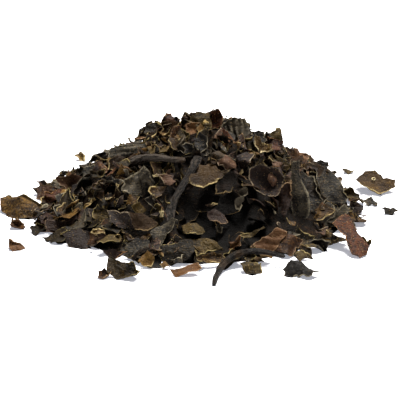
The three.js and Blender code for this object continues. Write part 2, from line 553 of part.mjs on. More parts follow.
// The largest closed surface of a solid, so that loose scraps and sealed hollows drop out.
function largestSurface(solid) {
  const { vertProperties, triVerts } = solid.getMesh();
  const parents = Array.from({ length: vertProperties.length / 3 }, (_, k) => k);
  const rootOf = (k) => {
    let root = k;
    while (parents[root] !== root) {
      parents[root] = parents[parents[root]];
      root = parents[root];
    }
    return root;
  };
  const faces = [];
  for (let t = 0; t < triVerts.length; t += 3) {
    faces.push([triVerts[t], triVerts[t + 1], triVerts[t + 2]]);
    parents[rootOf(triVerts[t + 1])] = rootOf(triVerts[t]);
    parents[rootOf(triVerts[t + 2])] = rootOf(triVerts[t]);
  }
  const volumes = new Map();
  for (const face of faces) {
    const [a, b, c] = face.map((k) => new THREE.Vector3().fromArray(vertProperties, 3 * k));
    const root = rootOf(face[0]);
    volumes.set(root, (volumes.get(root) ?? 0) + a.dot(b.cross(c)));
  }
  const largest = [...volumes.keys()].reduce((a, b) => (volumes.get(a) > volumes.get(b) ? a : b));
  const geometry = new THREE.BufferGeometry();
  geometry.setAttribute('position', new THREE.BufferAttribute(new Float32Array(vertProperties), 3));
  geometry.setIndex(faces.filter((face) => rootOf(face[0]) === largest).flat());
  return geometry.toNonIndexed();
}

const group = new THREE.Group();

function addPiece(name, tone, solid) {
  const [color, roughness] = TONES[tone];
  const material = new THREE.MeshStandardMaterial({ color, roughness, metalness: 0, flatShading: true });
  const mesh = new THREE.Mesh(largestSurface(solid), material);
  mesh.name = name;
  group.add(mesh);
}

// ---- Building the heap ----------------------------------------------------------------------

let packed = solidOf(coreMesh());
for (let order = 0; order < PACKED_COUNT; order += 1) {
  const flake = packedFlake(order);
  cover(flake);
  flake.at.z -= Math.min(hollowDepth(flake.at.x, flake.at.y), Math.max(0, lowestPoint(flake)));
  if (!PACKED_SKIPPED.includes(order)) packed = packed.add(solidOf(flakeMesh(flake, [1])));
}

const pieces = [];
for (const [stalks, onHeap] of [[FLOOR_STALKS, false], [HEAP_STALKS, true]]) {
  for (const [name, tone, rows] of stalks) {
    pieces.push({
      name,
      tone,
      solid: solidOf(stalkMesh(rows, onHeap)),
      room: solidOf(stalkMesh(rows, onHeap, JOINT_GAP)),
    });
  }
}
for (const [rows, besideHeap] of [[LOOSE, true], [FLAKES, false]]) {
  for (const row of rows) {
    const flake = rowFlake(row, PACKED_COUNT + pieces.length, besideHeap);
    const [roll, bow] = row[4];
    const rings = Math.abs(roll) + Math.abs(bow) > CURLED_FROM ? CURLED_RINGS : RINGS;
    pieces.push({
      name: row[0],
      tone: row[1],
      solid: solidOf(flakeMesh(flake, rings)),
      room: solidOf(flakeMesh(flake, rings, JOINT_GAP)),
    });
  }
}

// Each piece makes way for the ones before it, and the packed flakes for them all.
const below = solidOf(blockBelow());
pieces.forEach(({ name, tone, solid, room }, index) => {
  const clear = pieces.slice(0, index).reduce((rest, other) => rest.subtract(other.room), solid);
  addPiece(name, tone, clear.subtract(below));
  packed = packed.subtract(room);
});
addPiece('packed_flakes', 'dark', packed.subtract(below));

export default group;
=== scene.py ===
"""A low heap of dried, cut bladderwrack: thin flakes of frond with cut and curled edges, short
pieces of stalk, and a few flakes that lie by themselves round it.

Sizes here are millimetres and degrees, and every mesh is written in metres. A flake starts as a
flat outline, which is roughened, creased, curled at its margins, rolled and bowed by formulas,
and then settles on the heap.
"""
import math
from types import SimpleNamespace

import bpy
import numpy as np
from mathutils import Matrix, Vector


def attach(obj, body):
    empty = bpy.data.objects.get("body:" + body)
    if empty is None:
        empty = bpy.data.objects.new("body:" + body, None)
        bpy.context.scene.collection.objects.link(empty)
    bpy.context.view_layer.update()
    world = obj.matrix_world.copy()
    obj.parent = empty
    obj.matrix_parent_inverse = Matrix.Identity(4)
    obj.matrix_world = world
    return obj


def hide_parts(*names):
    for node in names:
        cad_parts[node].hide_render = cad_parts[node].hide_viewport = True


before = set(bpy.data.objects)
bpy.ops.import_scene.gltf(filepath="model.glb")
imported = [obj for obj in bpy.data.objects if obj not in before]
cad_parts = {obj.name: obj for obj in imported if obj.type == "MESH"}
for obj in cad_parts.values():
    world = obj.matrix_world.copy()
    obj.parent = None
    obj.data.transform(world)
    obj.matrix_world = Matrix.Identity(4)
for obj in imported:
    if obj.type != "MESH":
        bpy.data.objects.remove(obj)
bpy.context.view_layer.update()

MM = 0.001
GOLDEN_ANGLE = math.pi * (3 - math.sqrt(5))

# ---- The heap's driving dimensions, the same as those of its solids ---------------------------

HEAP_RADIUS = 46
HEAP_HEIGHT = 26
PEAK_ROUNDING = 0.22      # share of the radius over which the peak is rounded off
CORE_DEPTH = 3.6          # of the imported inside, below the heap's outer form

HOLLOW_MIDDLE = (6, -29)  # of the dark hollow in the heap's front
HOLLOW_REACH = (13, 7.5)
HOLLOW_DEPTH = 4.5

SOLID_THICKNESS = 0.7
SOLID_RINGS = (0.5, 1)
SOLID_WAVE = (0.35, 0.4)  # smallest wave along a flake, and the most that a draw adds
FLOOR_PRESS = 0.12

PACKED_COUNT = 142
PACKED_SKIPPED = (23, 58, 65, 72, 85, 90, 103, 113)
PACKED_STRIDE = 61
PACKED_SPREAD = 46
PACKED_JITTER = 3.5
PACKED_LENGTH = (7.2, 4.2)
PACKED_SLENDER = (0.62, 0.34)
PACKED_CORNERS = (5, 5, 6)
PACKED_TILT = 52
PACKED_LIFT = (0.5, 0.8)
PACKED_ROLL = (-45, 100)
PACKED_BOW = (-35, 70)
LAYER_DEPTH = 3
ROOT_DEPTH = 1.1
FOOT_HEIGHT = 8

FIELD_HALF = 62
GROUND_SAMPLES = 8
GROUND_REACH = 2

# Flakes that show whole, a row each: name and tone, the x and y of the middle, how steeply the
# flake stands and the bearing it faces, how far it rolls across and bows along, how far it is
# lifted off what lies below, and its corners, along and up the flake.
FLAKES = [
    ["wing_left", "maroon", [-44, 5], [50, -110], [20, -20], 1,
      [[-2.5, -1.5], [0, -3], [4, 0.5], [2, 1.5], [-3, 2]]],
    ["red_left", "red", [-41, -1], [55, -80], [20, 30], 1.6,
      [[-2.5, -2], [-0.5, -2], [3, -0.5], [2.5, 2.5], [0, 1.5], [-3, 1]]],
    ["stand_left", "maroon", [-36, 1.5], [60, -95], [0, -30], 2.2,
      [[-3, -1.5], [-0.5, -2.5], [3.5, -1.5], [3.5, 1], [0.5, 2.5], [-1.5, 1.5], [-3, 1]]],
    ["strip_left", "rust", [-36.5, -20.5], [45, -100], [20, 0], 1,
      [[-4.5, -2.5], [0.5, -2.5], [3.5, 0], [4.5, 3.5], [0.5, 1], [-4.5, 0.5]]],
    ["mauve_left", "maroon", [-31.5, -29], [48, -85], [-15, 10], 1,
      [[-2.5, -2.5], [0.5, -4], [3, -3], [3, 0], [2.5, 2.5], [0, 3.5], [-2.5, 2.5], [-4.5, 1]]],
    ["fold_left", "olive", [-37.5, -26.5], [40, -110], [60, 0], 0.5,
      [[-1.5, -2.5], [2, -2.5], [3, 0], [2, 2.5], [-0.5, 1.5], [-4.5, 0]]],
    ["grey_shoulder", "grey", [-20, -2], [42, -100], [-30, -15], 2,
      [[-6, -0.5], [-4.5, -2], [0.5, -1.5], [6, -1], [5.5, 1.5], [3.5, 3], [0, 1.5], [-5, 1]]],
    ["cup_left", "grey", [-16, -19], [58, -95], [-55, -45], 1.8,
      [[-4.5, -1.5], [-1, -3], [1.5, -4], [3, -3], [4, 0.5], [2.5, 3], [1, 4.5], [-1.5, 3],
        [-4.5, 1]]],
    ["brown_mid", "gold", [1.5, -21.5], [50, -85], [30, 20], 1.4,
      [[-5, -1.5], [-3.5, -3], [-1, -3.5], [2, -2.5], [4.5, -1], [6.5, 2], [4.5, 1.5], [0.5, 4],
        [-2, 3.5], [-2.5, 1], [-4, 0.5]]],
    ["mauve_mid", "maroon", [7, -16.5], [55, -90], [-30, -20], 1.4,
      [[-2.5, -1], [0.5, -2], [2.5, -1], [2.5, 1], [-0.5, 2], [-2.5, 0.5]]],
    ["cup_right", "dark", [17.5, -18], [62, -85], [110, 70], 2.4,
      [[-4.5, 0.5], [-4, -2.5], [-1.5, -5], [3, -6], [4.5, -3], [5.5, 0.5], [4, 3], [1, 5],
        [-2, 4.5], [-4, 3.5]]],
    ["tall_fold", "grey", [26.5, -20], [66, -75], [10, -95], 3.2,
      [[-3, 4.5], [-2.5, -1.5], [-1.5, -6], [1.5, -8.5], [4, -9], [3.5, -5], [2, 0.5], [0.5, 5],
        [0, 10.5], [-2.5, 10.5]]],
    ["side_fold", "rust", [22.5, -21.5], [64, -100], [0, -70], 2.6,
      [[-2, 2], [-2, -2], [-0.5, -5], [1, -2.5], [2, 1], [1.5, 6]]],
    ["rough_right", "grey", [29.5, -13], [50, -70], [-10, 20], 2.2,
      [[-2.5, 0], [-1.5, -5], [0.5, -5.5], [3.5, -2.5], [2.5, 2], [0.5, 5], [-2.5, 6]]],
    ["broad_right", "grey", [36, -5], [42, -75], [-15, -25], 2.4,
      [[-4, -1], [-2, -4], [1, -4.5], [4, -4], [5.5, -2], [2.5, 2], [1, 5], [-2, 5.5], [-5, 3]]],
    ["roll_right", "olive", [43, 1.5], [45, -60], [80, -20], 1.4,
      [[-1.5, -0.5], [2, -3.5], [3, -1.5], [2, 1], [-1, 3], [-4.5, 2]]],
    ["gold_right", "gold", [33, -19], [50, -80], [30, 0], 2,
      [[-2.5, 1], [-2.5, -1.5], [-0.5, -3], [1.5, -1], [3.5, 1], [0.5, 3.5]]],
    ["lip_right", "grey", [37, -17.5], [50, -100], [60, 0], 1,
      [[-1.5, -2.5], [0, -1.5], [3.5, 2], [2, 3.5], [-0.5, 2], [-4, -2]]],
    ["quad_front", "rust", [18, -35.5], [48, -95], [-12, 0], 1.2,
      [[-1.5, -2.5], [1.5, -2.5], [4.5, 2.5], [2, 3.5], [-2, 1], [-5, -1.5]]],
    ["red_front", "rust", [23.5, -35], [45, -80], [25, -20], 1.2,
      [[-4, -2], [-1, -4], [2.5, -1], [3.5, 1.5], [1, 2.5], [-2, 3]]],
    ["fold_front", "grey", [30.5, -32.5], [45, -85], [70, 0], 1,
      [[-2.5, -1], [0, -2], [2.5, -1.5], [3.5, 1], [0, 2.5], [-3, 1]]],
    ["olive_front", "olive", [-5.5, -41], [50, -90], [-20, -20], 1.2,
      [[-4.5, -2.5], [-2, -4], [1.5, -3], [3, -1.5], [4, 0.5], [3.5, 3.5], [0.5, 3.5], [-2, 2],
        [-5, 1.5]]],
    ["ridge_front", "olive", [1.5, -39], [42, -90], [-25, 0], 1,
      [[-2.5, -3], [0.5, -2], [4.5, -1], [2.5, 1.5], [-0.5, 2.5], [-4.5, 2.5]]],
    ["arch_front", "grey", [-9, -34.5], [50, -110], [-90, 0], 1.7,
      [[-1.5, -3.5], [-0.5, -2.5], [2, 0], [4, 2], [1.5, 3.5], [-1.5, 2], [-4, 0]]],
    ["slab_front", "grey", [-17, -38], [45, -95], [-15, 0], 1,
      [[-4, -1], [-0.5, -2.5], [3.5, -1], [4, 2], [0.5, 3]]],
    ["spiky_top", "olive", [-12, 5], [55, -110], [20, -20], 2.2,
      [[-3, -2], [-0.5, -1.5], [3.5, -2], [3, 0.5], [0, 2], [-3, 1.5]]],
    ["curl_peak", "red", [4.5, 4], [72, -80], [20, 90], 2.2,
      [[-2.5, 0], [-1, -3], [2, -3], [2.5, 0], [0.5, 3], [-2, 2.5]]],
    ["dark_peak", "olive", [0, 2.5], [66, -95], [0, 30], 1.2,
      [[-3.5, -0.5], [-0.5, -2.5], [3, -2], [2.5, 2], [-1, 3]]],
    ["ribbed_roll", "grey", [11, 0.5], [60, -80], [-10, -110], 3.2,
      [[-5.5, 0.5], [-1.5, -3.5], [1.5, -3.5], [3, -1.5], [3, 1], [1.5, 2.5], [-2, 2.5]]],
    ["vee_right", "gold", [17, -3], [50, -85], [0, 80], 2.4,
      [[-3, 0], [-1.5, -2], [2, -2], [3.5, 0], [1.5, 0.5], [-1, 2.5], [-2.5, 2.5]]],
    ["ledge_right", "rust", [27.5, 7], [45, -70], [15, 0], 2.8,
      [[-2.5, -3], [2.5, -2.5], [4, 1], [0, 2], [-4, 2]]],
    ["back_fan", "grey", [8, 18], [52, 80], [-30, 20], 1.4,
      [[-5, -2], [-1, -4], [3, -3.5], [5, 0], [3.5, 3], [-0.5, 4], [-4, 2.5]]],
    ["back_cup", "olive", [-14, 24], [50, 110], [70, 40], 1.8,
      [[-4, -1.5], [-1, -3.5], [3, -3.5], [4.5, 0], [3, 3.5], [-1, 4], [-4, 2]]],
    ["back_strap", "rust", [24, 28], [44, 60], [-20, -50], 1.4,
      [[-6, -1.5], [-2, -2.5], [3, -2], [6, 0], [5, 2], [0, 2.5], [-5, 1.5]]],
    ["back_shield", "maroon", [-2, 36], [42, 95], [-15, 15], 1.2,
      [[-3.5, -2], [0, -4], [3.5, -2], [4, 1.5], [1, 4], [-3, 3]]],
    ["back_roll", "grey", [-30, 20], [46, 140], [90, -20], 1.2,
      [[-4, -1], [-1, -3], [3, -2.5], [4.5, 1], [1, 3], [-3, 2.5]]],
    ["back_slab", "gold", [36, 16], [40, 30], [20, 10], 1,
      [[-3, -2], [1, -3.5], [4, -1], [3, 2.5], [-1, 3], [-4, 1]]],
]

# Smaller flakes that show between them, in the same columns.
SHORT_FLAKES = [
    ["sage_left", "grey", [-40, 8], [50, -100], [-30, 0], 2.2,
      [[-2, 0.5], [-1, -1.5], [2, -1], [2, 1], [-0.5, 1.5]]],
    ["round_left", "olive", [-33, 6.5], [55, -110], [70, 30], 1.4,
      [[-1.5, -1.5], [1.5, -1.5], [2, 0.5], [-0.5, 2], [-2, 1]]],
    ["rust_shoulder", "rust", [-27, -4], [40, -110], [-25, 0], 2.6,
      [[-4, 1], [-1, -1.5], [3, -2], [2, 0], [0, 2]]],
    ["sage_shoulder", "olive", [-28, -6.5], [50, -95], [35, 0], 2.6,
      [[-2.5, 1], [-1.5, -1], [0, -2], [2, -0.5], [2.5, 1.5]]],
    ["wedge_mid", "maroon", [-8.5, -21], [55, -90], [10, -20], 2,
      [[-3, 1.5], [-1.5, -0.5], [0.5, -2], [2, -0.5], [1.5, 1.5]]],
    ["speck_mid", "gold", [-11, -24.5], [50, -90], [-60, -40], 2,
      [[-2, 0], [-1, -1.5], [1, -1], [2, 1], [0, 1.5]]],
    ["leaf_mid", "grey", [5, -15], [42, -70], [-40, 20], 1.2,
      [[-3, -2.5], [-1, -2], [1, -0.5], [4, 2.5], [1, 2], [-2, 0.5]]],
    ["pink_mid", "maroon", [12, -13], [56, -90], [-30, -20], 2.4,
      [[-2.5, 0.5], [-1, -3], [1.5, -1], [3, 2], [0.5, 2.5]]],
    ["wing_top", "maroon", [-44.5, 11], [50, -120], [30, 0], 1,
      [[-3, 1.5], [-1.5, -0.5], [1.5, -2], [3, -0.5], [0, 1.5]]],
    ["dark_foot", "red", [-21.5, -40.5], [35, -90], [20, 0], 1.6,
      [[-3.5, 1], [-1.5, -1], [1.5, -1], [3.5, 0.5], [0, 1.5]]],
    ["grey_pebble", "olive", [-26.5, -24], [52, -95], [-20, -20], 2.3,
      [[-2, 1.5], [-1.5, -1], [0, -3], [2.5, -1], [2, 1], [-0.5, 2.5]]],
    ["brown_lower", "maroon", [-20.5, -29], [50, -90], [-15, 0], 2.4,
      [[-4, 3], [-2.5, -0.5], [0.5, -2.5], [3.5, -2], [2, 2]]],
    ["shield_lower", "dark", [-15, -31], [52, -95], [-20, -20], 2.3,
      [[-3.5, 3], [-2, -2], [2, -3], [4, -0.5], [0.5, 2]]],
    ["round_lower", "rust", [4.5, -32.5], [50, -90], [25, 25], 2.2,
      [[-3, 1.5], [-2, -1], [1, -3], [2.5, -1.5], [2, 1], [-0.5, 2.5]]],
    ["dark_mid", "dark", [6.5, -24.5], [55, -85], [20, 30], 2.4,
      [[-3, -2.5], [-1, -3.5], [2, -1.5], [3.5, 2], [1.5, 4.5], [-2, 1]]],
    ["fan_top", "grey", [0, -11.5], [58, -95], [0, -25], 2.3,
      [[-2, 1.5], [-1.5, -1], [0, -3], [2, -2], [2, 1.5], [0, 3]]],
    ["rust_top", "rust", [-2.5, -5.5], [55, -90], [0, -90], 2.7,
      [[-1.5, 1], [-1.5, -1], [-0.5, -2.5], [2, -1.5], [2, 1.5], [0, 2.5]]],
    ["red_tip", "red", [-9, 9], [66, -90], [-30, -30], 3,
      [[-2.5, -1.5], [0, -3.5], [2.5, -2], [1, 2], [-0.5, 2]]],
    ["crest_right", "olive", [21.5, 11], [66, -80], [0, -30], 5,
      [[-2, 0], [-2, -3], [0.5, -4], [2.5, -2], [1, 2], [-0.5, 2.5]]],
    ["crest_low", "grey", [16, 0], [62, -90], [0, 20], 3.4,
      [[-3, -1], [-0.5, -3], [2.5, -1.5], [1.5, 1], [0, 1.5]]],
    ["red_crest", "red", [20, 1], [55, -80], [20, 20], 3.2,
      [[-3, 2], [-1.5, -3], [2, -3], [3, 0], [-0.5, 2]]],
    ["dark_ledge", "grey", [33.5, 8], [45, -70], [40, 0], 3.2,
      [[-3.5, 0], [-2, -3], [2, -3], [3, 1.5], [0.5, 2]]],
    ["moss_front", "olive", [-2, -35.5], [45, -90], [-20, 0], 2.2,
      [[-3, 1], [-2, -1.5], [1.5, -2], [3.5, -0.5], [1, 1.5], [-1, 2]]],
    ["gold_front", "gold", [-13.5, -43.5], [50, -95], [70, 60], 1,
      [[-2.5, -1], [-0.5, -2], [1.5, -2], [2, 0.5], [0.5, 2.5], [-1, 1.5]]],
    ["gold_long", "gold", [3, -43], [40, -90], [65, 0], 2,
      [[-4, 0.5], [-3, -2], [0.5, -1.5], [4, 0], [2.5, 1], [-1, 1.5]]],
    ["red_foot", "rust", [-3.5, -48.5], [30, -90], [20, 0], 0.8,
      [[-4, 0.5], [-2.5, -2], [1, -1], [4, 0.5], [3, 2.5], [-1.5, 1]]],
    ["chip_front", "olive", [26.5, -39], [40, -90], [-35, 0], 0.8,
      [[-2.5, 0], [-1, -1.5], [0.5, -0.5], [2.5, -1], [1, 1], [-0.5, 2]]],
    ["cream_curl", "gold", [-26.5, -30.5], [40, -80], [150, 20], 1.8,
      [[-2, -0.5], [0, -1], [2, -0.5], [1.5, 0.5], [-1.5, 0.8]]],
    ["amber_chip", "gold", [-21.5, -32.5], [55, -90], [60, 30], 1.6,
      [[-1.2, 0], [-0.5, -0.9], [1, -0.7], [1.2, 0.6], [0, 0.9]]],
    ["pink_chip", "maroon", [-28, -12], [45, -100], [40, 0], 1.6,
      [[-1.4, 0.4], [-0.3, -0.8], [1.3, -0.4], [1, 0.7]]],
    ["gold_strip", "gold", [-30, -16.5], [50, -110], [100, 0], 1.6,
      [[-2.4, -1.6], [-1.8, -2], [2.4, 1.2], [1.8, 1.9]]],
    ["bronze_curl", "gold", [-22, -18.5], [60, -90], [0, 150], 1.6,
      [[-0.8, -1.8], [0.6, -2], [0.9, 1.8], [-0.5, 2]]],
    ["bronze_loop", "gold", [-24, -20.5], [50, -90], [170, 0], 1.6,
      [[-1.4, -1], [1.2, -1], [1.4, 0.8], [-1, 1]]],
    ["pale_tip", "gold", [-12, -18.5], [50, -90], [60, 0], 1.4,
      [[-1, 0], [0, -0.5], [1, -0.2], [0.6, 0.5]]],
    ["pale_spur", "gold", [-10, -30.5], [60, -90], [40, 40], 1.8,
      [[-0.5, -0.8], [0.5, -0.6], [0.6, 0.7], [-0.4, 0.9]]],
    ["ochre_top", "gold", [-14, 0.5], [50, -90], [60, 0], 1.6,
      [[-1.2, -0.5], [0.5, -0.9], [1.3, 0.2], [0, 0.9]]],
    ["pale_top", "gold", [-6, -8.5], [50, -95], [60, 0], 1.6,
      [[-1, -0.2], [0.3, -0.7], [1, 0.3], [-0.2, 0.7]]],
    ["pale_peak", "gold", [1.5, -1], [50, -90], [50, 0], 1.6,
      [[-1, -0.2], [0.3, -0.6], [1, 0.3], [-0.2, 0.6]]],
    ["drop_hollow", "grey", [11.5, -24.5], [60, -95], [80, 20], 2.2,
      [[-1.2, 0.5], [-1, -1.2], [0.4, -2], [1.4, -0.6], [1.2, 1.4], [0, 1.9]]],
    ["leaf_hollow", "grey", [10, -27.5], [66, -90], [40, 60], 2.4,
      [[-1, 0.5], [-0.6, -1.6], [0.4, -2.2], [1.3, -0.5], [1.5, 1.8], [0.2, 1.6]]],
    ["strip_hollow", "gold", [3, -29.5], [50, -90], [60, 0], 2.2,
      [[-1.5, -0.2], [0, -0.7], [1.5, 0], [0.4, 0.6]]],
    ["bit_hollow", "grey", [5, -34], [55, -90], [20, 20], 1.8,
      [[-1.2, 0.2], [-0.6, -1.2], [0.8, -1.4], [1.2, 0.3], [0.2, 1]]],
    ["green_strip", "olive", [13.5, -34.5], [40, -100], [120, -30], 1.6,
      [[-3.2, -1.6], [-2, -1.9], [3.2, 1.4], [2.6, 1.9]]],
    ["bladder_right", "maroon", [19.2, -19.2], [62, -75], [-150, -120], 4.6,
      [[-1.6, 0], [-1.2, -1.8], [0, -2.3], [1.3, -1.6], [1.7, 0.3], [1, 2], [-0.6, 2.3]]],
    ["fill_peak", "dark", [2.1, 5], [60, -90], [20, 0], -0.6,
      [[-3, -1], [-1.5, -2.5], [2, -2.2], [3, 0.5], [1, 2], [-2, 1.6]]],
    ["fill_left", "dark", [-41.8, -5.4], [8, -100], [10, 10], -0.4,
      [[-3, -1], [-0.5, -2.6], [2.4, -2.2], [3, 0.8], [0.5, 2.6], [-2.4, 1.8]]],
    ["fill_side", "dark", [-41.8, 11.2], [8, -80], [10, -10], -0.8,
      [[-3, -1.2], [-0.8, -2.4], [2.2, -2], [3, 0.6], [0.8, 2.4], [-2.2, 2]]],
    ["barrel_curl", "rust", [9, -37.5], [60, -95], [200, 0], 1.4,
      [[-1.6, -1.5], [1.5, -1.6], [1.6, 1.5], [-1.4, 1.6]]],
]

# Flakes that lie by themselves on the surface round the heap, in the same columns.
LOOSE_FLAKES = [
    ["far_left", "gold", [-49.5, -6.5], [24, -100], [12, 24], 0,
      [[-6, 3.5], [-5, -1], [-3, -3], [-0.5, -4.5], [2.5, -6], [5.5, -3], [6, 0.5], [3.5, 2.5],
        [0.5, 3.5], [-4, 6]]],
    ["far_right", "rust", [50.5, 12], [22, -95], [25, 12], 0,
      [[-6, 1.5], [-4.5, -3.5], [1, -6], [5, -2.5], [5.5, 0], [2, 2], [0, 4], [-3, 4.5]]],
    ["strap_right", "rust", [39.5, -33], [34, -75], [-25, -50], 0,
      [[-5, 4], [-2.5, 0], [-1.5, -3], [-0.5, -5.5], [1.5, -6.5], [3.5, -5], [4.5, -2], [3, -0.5],
        [1.5, 1.5], [0, 7], [-1.5, 8]]],
    ["lobes_front", "grey", [25, -48.5], [22, -90], [-20, 30], 0,
      [[-4, 0.5], [-3, -3], [-0.5, -2], [2, -3], [4.5, -1], [3, 1], [2, 3], [-0.5, 2], [-2.5, 2.5]]],
    ["chip_stalk", "olive", [13, -46.5], [24, -90], [20, 20], 0,
      [[-2.5, -1], [0, -3], [2.5, -1], [2.5, 1.5], [-1, 2], [-3, 1]]],
    ["pair_front", "olive", [-19, -49.5], [20, -90], [-25, -30], 0,
      [[-4, -0.5], [-2, -2.5], [3.5, -2.5], [4.5, -1], [2.5, 2], [-1.5, 2], [-3.5, 3]]],
    ["pair_small", "rust", [-24, -50], [12, -90], [30, 0], 0,
      [[-1.5, -1], [1, -1.5], [2, 0], [0, 2], [-1.5, 1]]],
    ["bud_left", "olive", [-43, -20], [20, -110], [110, 60], 0,
      [[-2.5, -0.5], [-0.5, -2.5], [2, -2], [3, -0.5], [1.5, 2], [-0.5, 2.5], [-2.5, 1]]],
    ["crumb_left", "rust", [-49.5, -17], [24, -80], [50, 0], 0,
      [[-2, -0.5], [-1.5, -2], [2.5, -1.5], [2, 0.5], [0.5, 1.5], [-1.5, 2]]],
    ["crumb_front", "rust", [-48.5, -31.5], [24, -90], [30, 0], 0,
      [[-1.5, -0.5], [0, -2.5], [3, -0.5], [0.5, 2], [-1.5, 2.5]]],
    ["curl_behind", "gold", [-36, 38], [36, -80], [120, 60], 0,
      [[-2.5, 0.5], [-1, -1.5], [1.5, -2], [1.5, 0.5], [0, 2]]],
    ["bead_right", "grey", [48, 0], [28, -90], [100, 50], 0,
      [[-2.5, 0.5], [-1, -1.5], [1.5, -1.5], [2, 0], [0, 2]]],
    ["chip_right", "maroon", [42, -9], [20, -90], [20, 0], 0,
      [[-2, 1], [-1.5, -1], [0.5, -2], [3, 0], [0, 1.5]]],
    ["chip_behind", "rust", [22, 47], [12, 70], [25, 20], 0,
      [[-3, -1.5], [1, -2.5], [3.5, 0], [1, 2.5], [-2.5, 2]]],
    ["leaf_behind", "grey", [-9, 48.5], [14, 100], [-25, 25], 0,
      [[-4, -1], [-1, -3], [3, -2], [4.5, 1], [1, 2.5], [-3, 2]]],
]

# Short flakes beside them, drawn in the shells that they share.
SHORT_LOOSE = [
    ["crumb_right", "olive", [52.5, -7], [20, -90], [-50, 0], 0,
      [[-2.5, 1], [-1.5, -1], [0.5, -1.5], [2.5, 0], [1.5, 1.5], [-0.5, 1]]],
    ["chip_strap", "olive", [43.5, -29], [22, -90], [30, 0], 0,
      [[-1.5, 1], [-1, -1], [1, -1.5], [2, 0], [-0.5, 2]]],
    ["crumb_back", "maroon", [14, 50], [10, 60], [40, 20], 0,
      [[-2, 0.5], [-0.5, -1.5], [1.5, -1], [2, 1], [0, 1.5]]],
    ["chip_back", "olive", [44, 26], [12, 30], [-30, 30], 0,
      [[-2, -0.5], [0, -1.5], [2, -0.5], [1.5, 1.5], [-1, 1.5]]],
]

# Stalk pieces: name and tone, then points along each with x, y, height, width and thickness.
# The first is lifted off the surface that the heap lies on, the others off the heap itself.
FLOOR_STALKS = [
    ["stalk_curved", "stalk", [
      [3.4, -55.5, 0.4, 1.1, 1], [3.8, -52, 0.5, 1.3, 1.2], [4.4, -49, 0.7, 1.5, 1.4],
      [5.8, -46, 1.8, 1.6, 1.5], [8.2, -43.9, 3.1, 1.7, 1.6], [11, -42.8, 3.8, 1.6, 1.5],
      [14.3, -42.4, 3.9, 1.7, 1.5], [17.8, -42.5, 3.4, 1.4, 1.3], [21.6, -43, 2.7, 1, 0.9]]],
]
HEAP_STALKS = [
    ["stalk_pale", "stalk", [
      [-18.5, -9.5, 1.9, 2.4, 2], [-14.5, -12, 2.3, 2.2, 2], [-10.5, -14.5, 2.7, 2, 1.9],
      [-7, -15.5, 2.4, 1.8, 1.6], [-3.8, -16, 1.9, 1.4, 1.3]]],
    ["stalk_forked", "stalk", [
      [-0.3, -15.5, 2.2, 2.6, 0.9], [-2.6, -19.5, 2, 1.8, 1.2], [-4.8, -23, 1.8, 1.9, 1.4],
      [-6.8, -26.6, 1.6, 2.3, 1.5], [-8, -30.2, 1.3, 2.7, 1.6], [-7.9, -33.4, 0.9, 2.4, 1.3]]],
    ["stem_upright", "olive", [
      [-8, -11, 2, 0.9, 0.9], [-7.6, -13, 0.9, 1, 0.9], [-7.4, -15, -0.5, 1, 0.9],
      [-7, -17.2, -0.7, 1, 0.9], [-6.2, -20.5, 0.3, 1, 0.9]]],
    ["stalk_butt", "dark", [
      [-12.8, -39.2, 1.6, 1.8, 1.5], [-15, -40.4, 1.2, 2.1, 1.6], [-17.4, -41.6, 0.8, 1.6, 1.3]]],
    ["stalk_back", "stalk", [
      [30, 12, 1.2, 1.3, 1.2], [26, 17, 1.4, 1.6, 1.4], [20.5, 21, 1.5, 1.7, 1.5],
      [14, 23.5, 1.5, 1.6, 1.4], [8, 26.5, 1.3, 1.1, 1]]],
    ["stalk_side", "stalk", [
      [-22, 13, 0.8, 1.2, 1.1], [-24.5, 20, 1.4, 1.5, 1.3], [-24, 27, 1.4, 1.6, 1.4],
      [-20.5, 32.5, 1, 1.1, 1]]],
]

# ---- Small maths ------------------------------------------------------------------------------

def draw(number, purpose):
    """From 0 to 1, by a piece's number and what it is drawn for: the fraction that is left of a
    large multiple of a sine of both."""
    value = np.sin(number * 12.9898 + purpose * 78.233) * 43758.5453
    return value - np.floor(value)


def draw_from(span, number, purpose):
    """The first value of a pair, plus the drawn share of the second."""
    return span[0] + span[1] * draw(number, purpose)


def ease(share):
    """From 0 to 1 with level ends: three times the square less twice the cube."""
    share = np.clip(share, 0, 1)
    return share * share * (3 - 2 * share)


def unit(vectors):
    """The same directions at length 1."""
    return vectors / np.maximum(1e-9, np.linalg.norm(vectors, axis=-1, keepdims=True))


def noise_ring(turns, count, number):
    """Smooth noise round a closed line, from -1 to 1: a value drawn at each of count places, and
    eased from one to the next."""
    cell = np.floor(turns * count)
    mix = ease(turns * count - cell)
    return 2 * ((1 - mix) * draw(cell % count, number) + mix * draw((cell + 1) % count, number)) - 1


def noise_sheet(p, q, number):
    """Smooth noise over a plane, from -1 to 1: a value drawn at each whole place, and eased
    across each square between four of them."""
    column, row = np.floor(p), np.floor(q)
    across, along = ease(p - column), ease(q - row)
    low, high = (
        (1 - across) * draw(column + 57 * (row + up), number)
        + across * draw(column + 1 + 57 * (row + up), number)
        for up in (0, 1)
    )
    return 2 * ((1 - along) * low + along * high) - 1


def mound_height(x, y):
    """Height of the heap's outer form: a cone whose peak is rounded by a hyperbola."""
    share = np.hypot(x, y) / HEAP_RADIUS
    foot = math.sqrt(1 + PEAK_ROUNDING ** 2)
    fall = foot - np.sqrt(share ** 2 + PEAK_ROUNDING ** 2)
    return np.maximum(0, fall * HEAP_HEIGHT / (foot - PEAK_ROUNDING))


def hollow_depth(x, y):
    """How far the hollow lies below the rest at a place: a bell over its oval."""
    dx = (x - HOLLOW_MIDDLE[0]) / HOLLOW_REACH[0]
    dy = (y - HOLLOW_MIDDLE[1]) / HOLLOW_REACH[1]
    return HOLLOW_DEPTH * np.exp(-dx ** 2 - dy ** 2)


